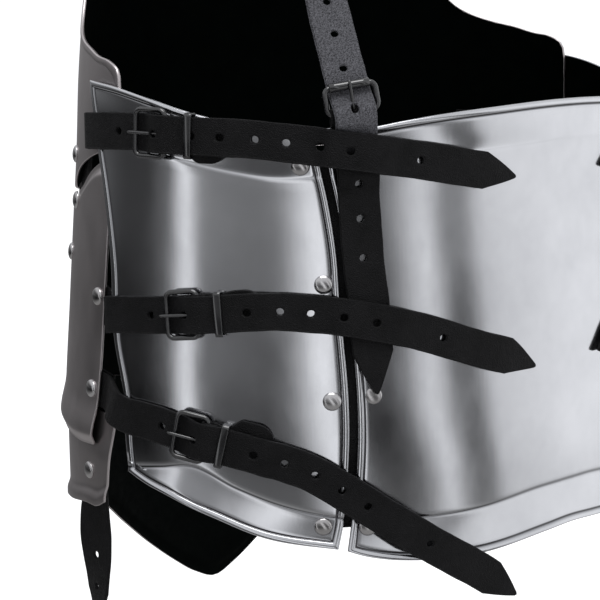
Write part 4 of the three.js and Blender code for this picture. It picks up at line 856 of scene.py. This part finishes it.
# Side straps: angle of the heel bar, first and last angle of the climb onto the band, extra height,
# keeper's distance, how closely it lies on the border, and the buckle leather's hump.
SIDE_STRAPS = {"upper": (14.7, -12.6, -9.4, RIM_RAISE + TOP_FLARE, 12.6, 0, 0),
               "middle": (22.4, -2.25, 0.6, 0, 10.2, 0, 0),
               "lower": (24.6, -3.6, 4.6, 0, 8.4, 0.36, 1.2)}
for name, (heel_angle, leave_angle, edge_angle, extra, keeper_at, fit, hump) in SIDE_STRAPS.items():
    path = tracks[name]
    rise_at = Curve(PATHS[name], fold=False)
    heel = path.near(heel_angle, rise_at(heel_angle))
    outside = name == "upper"
    base = PLATE_TOP + extra
    chape_base = base + GAP + CHAPE_LEATHER / 2
    bar = base + GAP + CHAPE_LEATHER + GAP + ROD
    under_far = base + GAP + LEATHER / 2 + 0.25
    over_bar = bar + ROD + GAP + CHAPE_LEATHER + GAP + LEATHER / 2
    far = under_far + LEATHER / 2 + GAP + ROD + 0.1
    over_chape = chape_base + 1.5 + CHAPE_LEATHER / 2 + GAP + LEATHER / 2
    passing = PLATE_TOP + RIM_RAISE + (TOP_FLARE if outside else 0) + GAP + LEATHER / 2 + 0.15
    start = GAP + LEATHER / 2 + 0.1 if outside else UNDER
    leave = 2.5 if outside else path.near(leave_angle, rise_at(leave_angle)) + 0.5
    lift = [(0, start), (leave, start), (path.near(edge_angle, rise_at(edge_angle)), passing + 0.1 - fit),
            (heel - SIDE_FRAME - 7, passing - fit), (heel - SIDE_FRAME - 1, under_far),
            (heel - SIDE_FRAME + 1.6, under_far),
            (heel - 0.8, over_bar + 0.15), (heel + 1.2, over_bar + 0.15), (heel + 8.6, over_chape),
            (heel + CHAPE_LENGTH - 1, over_chape), (heel + CHAPE_LENGTH + 6, passing),
            *free_end(name, path)]
    f = buckle_frame(path, heel, SIDE_FRAME, bar, far)
    holes = [heel + h for h in HOLES[name]]
    pair(f"strap_{name}", strap(path, SIDE_WIDTH, lift, holes, wave=heel), *HIDES)
    pair(f"chape_{name}", chape(path, heel, SIDE_WIDTH * CHAPE_SHARE, bar, chape_base, keeper_at, ROD,
                                 DRIFTS[name], hump), *HIDES)
    pair(f"buckle_{name}", buckle(f, SIDE_WIDTH, ROD), *FITTING)
    pair(f"prong_{name}", prong(f, ROD), *FITTING)
    pair(f"keeper_{name}", keeper(path, heel + keeper_at, SIDE_WIDTH, base + GAP,
                                  over_chape + LEATHER / 2 + GAP + KEEPER_METAL), *FITTING)

path = tracks["shoulder"]
heel = path.near(49.1, 1.03)
bar = SHOULDER_BASE + SHOULDER_ROD + GAP + CHAPE_LEATHER / 2
over = bar + SHOULDER_ROD + GAP + CHAPE_LEATHER + GAP + LEATHER / 2 + 0.15
tab = path.near(-53.6, 1.85)
f = buckle_frame(path, heel, SHOULDER_FRAME, bar, 7.6)
lift = [(0, GAP + LEATHER / 2 + 0.1), (tab - 6, GAP + LEATHER / 2 + 0.1), (tab + 4, 2.6), (tab + 40, 3.9),
        (heel - SHOULDER_FRAME - 1, 4), (heel - SHOULDER_FRAME + 1.2, 4), (heel - 0.8, over),
        (heel + 1.2, over), (heel + 8.6, SHOULDER_REST), (heel + CHAPE_LENGTH - 1, SHOULDER_REST),
        (heel + CHAPE_LENGTH + 8, OVER_RIM), (path.length, OVER_RIM)]
holes = [heel + h for h in HOLES["shoulder"]]
# The shoulder strap's upper part carries painted sheen from the light above.
pair("shoulder_strap", strap(path, SHOULDER_WIDTH, lift, holes, wave=1.3), [SHEEN_PAINTED_LEATHER], "leather")
pair("shoulder_chape", chape(path, heel, SHOULDER_WIDTH * CHAPE_SHARE, bar, SHOULDER_BASE, None, SHOULDER_ROD,
                             DRIFTS["shoulder"]), *HIDES)
ROLLER = 2.1
roller_half = (SHOULDER_WIDTH - 1) / 2
roller = [f["far"] + f["side"] * roller_half * k for k in (-1, -0.97, -0.5, 0, 0.5, 0.97, 1)]
roller_size = ROLLER * np.array([0.8, 1, 1, 1, 1, 1, 0.8])
pair("shoulder_buckle", merge(buckle(f, SHOULDER_WIDTH, SHOULDER_ROD),
                              tube(roller, roller_size, f["normal"], False, 20)), *FITTING)
pair("shoulder_prong", prong(f, SHOULDER_ROD, ROLLER), *FITTING)
tab_pin = path.at(9)

path = tracks["hanging"]
free = path.near(-9.4, 0.04)
lift = [(0, -6.3), (free - 24, -6.3), (free, -5), (path.length, -5)]
twist = [(free - 18, 0), (free + 20, 25), (free + 58, -2)]
pair("hanging_strap", strap(path, SHOULDER_WIDTH, lift, [free + 31.5, free + 48], twist, 0.4), *HIDES)

# Plates.
centre_edge = [CENTRE_LOW[0], *[(a + OPEN_SEAM / FLAT[0], r) for a, r in SEAM[1:-1]], CENTRE_TOP[0]]
NEAR_CREASE = (-3, -1.6, -0.9, -0.45, 0, 0.45, 0.9, 1.6, 3)
all_rims = ("low", "high", "first", "last")
creases = ((crease_at, NEAR_CREASE), (top_crease_at, NEAR_CREASE))
front_lame("breastplate", BREAST_LOW, BREAST_TOP, [(-0.8, 0.925), (-0.8, 1.07)], breast_offset, ("high",),
           190, (44,), slant=True, relief=0.5)
front_lame("plackart", PLACKART_LOW, PLACKART_TOP, PLACKART_SIDE, plackart_offset, (), 130, (2, 20, 1),
           ((plackart_low_at, (2, 4, 5, 6, 8, 12, 16, 20, 24, 28)),
            (step_at, (-3.4, -2.4, -1.6, -0.8, 0, 0.8, 1.6, 2.4, 3.4))))
front_lame("fauld_lame", FAULD_LOW, FAULD_TOP, FAULD_SIDE, fauld_offset, (), 130, (1, 22),
           ((fauld_low_at, (2.5, 4, 5, 6, 7, 8.5)),))
piece("back_plate_shown", plate(
    across_middle(CENTRE_LOW, 180), across_middle(CENTRE_TOP, 180), flat_line(centre_edge),
    flat_line(mirrored(centre_edge, 180)), band_offset, all_rims, 100, (6, 34, 6), creases),
    *BAND_LOOK, "back_plate")
pair("side_plate", plate(
    flat_line(SIDE_LOW), flat_line(SIDE_TOP), flat_line(SIDE_FRONT), flat_line(SEAM), band_offset,
    all_rims, 56, (6, 34, 6), creases, broad=1.5),
    *BAND_LOOK)

# Rivets.
tail, seat = -1.2, BAND_LAYER + STEEL / 2 - 0.15
pair("side_plate_rivets", merge(stud(40.3, 0.905, tail, seat + 0.1), stud(44.6, 0.63, tail, seat),
                                stud(46.3, 0.355, tail, seat), stud(44.9, 0.055, tail, seat + 1.2)),
     [DOME], "polished_steel", "side_plate")
piece("back_plate_rivets", both_sides([stud(53.2, 0.365, tail, seat, RIVET_HEAD * 0.9, 1.2),
                                        stud(52.3, 0.05, tail, seat + 1.2)]),
      [DOME], "polished_steel", "back_plate")
piece("breastplate_rivets", both_sides([stud(-27, 0.88, -6.5, -0.15),
                                         rivet(tab_pin[0], tab_pin[3], -3.6, LEATHER + 2 * GAP + 0.2)]),
      [DOME], "front_steel", "breastplate")
piece("plackart_rivets", both_sides([stud(-22.5, 0.77, -6.5, -0.15), stud(-27, 0.63, -6.5, -0.15),
                                      stud(-6.1, 0.557, UNDER - LEATHER / 2 - GAP, -0.15),
                                      stud(-7, 0.325, -7.6, -0.15)]), [DOME], "front_steel", "plackart")
piece("fauld_rivets", both_sides([stud(-8.8, 0.11, -7.6, -1.55)]), [DOME], "front_steel", "fauld_lame")


# Leathers behind the seams and inside the front.
def sheet(first, last, offset, rows=40):
    """A long leather between two upright edges."""
    u = np.linspace(0, 1, rows)
    a, b = first(u), last(u)
    middle = (a + b) / 2
    points = trunk(middle[:, 0], middle[:, 1], offset)
    across = trunk(b[:, 0], b[:, 1], offset) - trunk(a[:, 0], a[:, 1], offset)
    sides, half = unit(across), norm(across, axis=1) / 2
    return leather(points, sides, reach_along(points), half, LEATHER, (), (3.0, 6.0))


seam_left = -0.44 * SEAM_LEATHER_WIDTH / FLAT[0]
seam_right = seam_left + SEAM_LEATHER_WIDTH / FLAT[0]
seam_rows = [row for row in SEAM if 0.02 < row[1] < 0.97]
seam_edges = [flat_line([(a + move, r) for a, r in seam_rows]) for move in (seam_left, seam_right)]
behind_band = BAND_LAYER - STEEL / 2 - GAP - 0.25 - LEATHER / 2 - 0.5
pair("seam_leather", sheet(*seam_edges, behind_band), *HIDES)
front_edges = [flat_line([(angle, 0.57), (angle, 0.9)]) for angle in (-31, -18.5)]
pair("front_leather", sheet(*front_edges, -5.2), *HIDES)

# Camera, floor and light.
camera = add_object("camera", bpy.data.cameras.new("camera"))
scene.camera = camera
camera.data.lens, camera.data.sensor_width = 111.0, 36.0
camera.data.clip_start, camera.data.clip_end = 0.05, 50
# The view looks along -X-Y, turned a little to its left and tilted down.
YAW, TILT = np.arctan(69 / 1850), np.radians(11.13)
ahead, right, up = unit(np.array([[-1.0, -1, 0], [-1, 1, 0], [0, 0, 1]]))
turned = ahead * np.cos(YAW) - right * np.sin(YAW)
across = right * np.cos(YAW) + ahead * np.sin(YAW)
look = turned * np.cos(TILT) - up * np.sin(TILT)
lifted = up * np.cos(TILT) + turned * np.sin(TILT)
place = np.eye(4)
place[:3] = np.stack([across, lifted, -look, (0.7071, 0.7071, 0.285)], 1)
camera.matrix_world = Matrix(place.tolist())

floor_mesh = bpy.data.meshes.new("floor")
FLOOR_RADIUS, FLOOR_HEIGHT, FLOOR_SIDES = 30, -0.16, 96
corners = [(FLOOR_RADIUS * np.cos(t), FLOOR_RADIUS * np.sin(t), FLOOR_HEIGHT) for t in full_turn(FLOOR_SIDES)]
floor_mesh.from_pydata(corners, [], [list(range(FLOOR_SIDES))])
floor = add_object("floor", floor_mesh)
floor_material, floor_tree, floor_shader, _ = node_material("pale_floor")
plug(floor_tree, floor_shader, Base_Color=(0.86, 0.86, 0.86, 1), Roughness=0.9,
     Emission_Color=(1, 1, 1, 1), Emission_Strength=0.45)
floor_mesh.materials.append(floor_material)
floor.visible_glossy = False
floor.visible_shadow = False

light = bpy.data.lights.new("top_light", "AREA")
light.shape, light.size, light.size_y, light.energy = "RECTANGLE", 1.6, 1.2, 26
top_light = add_object("top_light", light)
location = np.array([0.4, 0.5, 2.2])
away = unit(location - [0, 0, 0.1])
side = unit(np.cross(up, away))
place[:3] = np.stack([side, np.cross(away, side), away, location], 1)
top_light.matrix_world = Matrix(place.tolist())

# Soft boxes and dark gaps round the object: direction in degrees from +X, and brightness.
BANDS = [(-180, 0.5), (-150, 0.9), (-120, 0.35), (-80, 0.2), (-60, 0.12), (-45, 0.06), (-26, 0.05),
         (-20, 0.12), (-13, 0.16), (-9, 0.6), (-5, 1.15), (-1, 1.0), (2, 0.42), (5, 0.28), (14, 0.26),
         (34, 0.22), (40, 0.24), (45, 0.6), (50, 1.0), (55, 1.25), (59, 0.7), (64, 0.15), (74, 0.1),
         (80, 0.3), (84, 0.7), (88, 1.1), (91, 0.95), (95, 0.3), (103, 0.28), (107, 0.9), (135, 1.05)]
# Share of a turn that the boxes lean per unit of height, and the power that darkens them low down.
BOX_LEAN, LOW_POWER = 42 / 360, 1.8
world = bpy.data.worlds.new("studio")
scene.world = world
world.use_nodes = True
tree = world.node_tree
tree.nodes.clear()
background = node(tree, "Background")
node(tree, "OutputWorld", Surface=background.outputs[0])
split = node(tree, "SeparateXYZ", Vector=node(tree, "TexCoord").outputs["Generated"])


def arithmetic(operation, a, b):
    made = tree.nodes.new("ShaderNodeMath")
    made.operation = operation
    feed(tree, made.inputs[0], a)
    feed(tree, made.inputs[1], b)
    return made.outputs[0]


def boxes_of(turn, power):
    stops = [((a + 180) / 360, (v**power * 0.97, v**power * 0.98, v**power)) for a, v in BANDS]
    return ramp(tree, turn, stops)


height = split.outputs[2]
depth = arithmetic("MULTIPLY", height, -1.0)
turn = arithmetic("DIVIDE", arithmetic("ARCTAN2", split.outputs[1], split.outputs[0]), 2 * np.pi)
turn = arithmetic("ADD", arithmetic("ADD", turn, 0.5), arithmetic("MULTIPLY", height, BOX_LEAN))
light = mix(tree, ramp(tree, depth, [(0.045, 0.0), (0.1, 1.0)]), boxes_of(turn, 1), boxes_of(turn, LOW_POWER))
light = mix(tree, ramp(tree, height, [(0.13, 0.0), (0.45, 1.0)]), light, (0.75, 0.76, 0.78, 1))
light = mix(tree, ramp(tree, depth, [(0.25, 0.0), (0.55, 1.0)]), light, (0.35, 0.35, 0.35, 1))
seen = node(tree, "LightPath").outputs["Is Camera Ray"]
plug(tree, background, Color=mix(tree, seen, light, (1, 1, 1, 1)))
scene.view_settings.view_transform = "Standard"
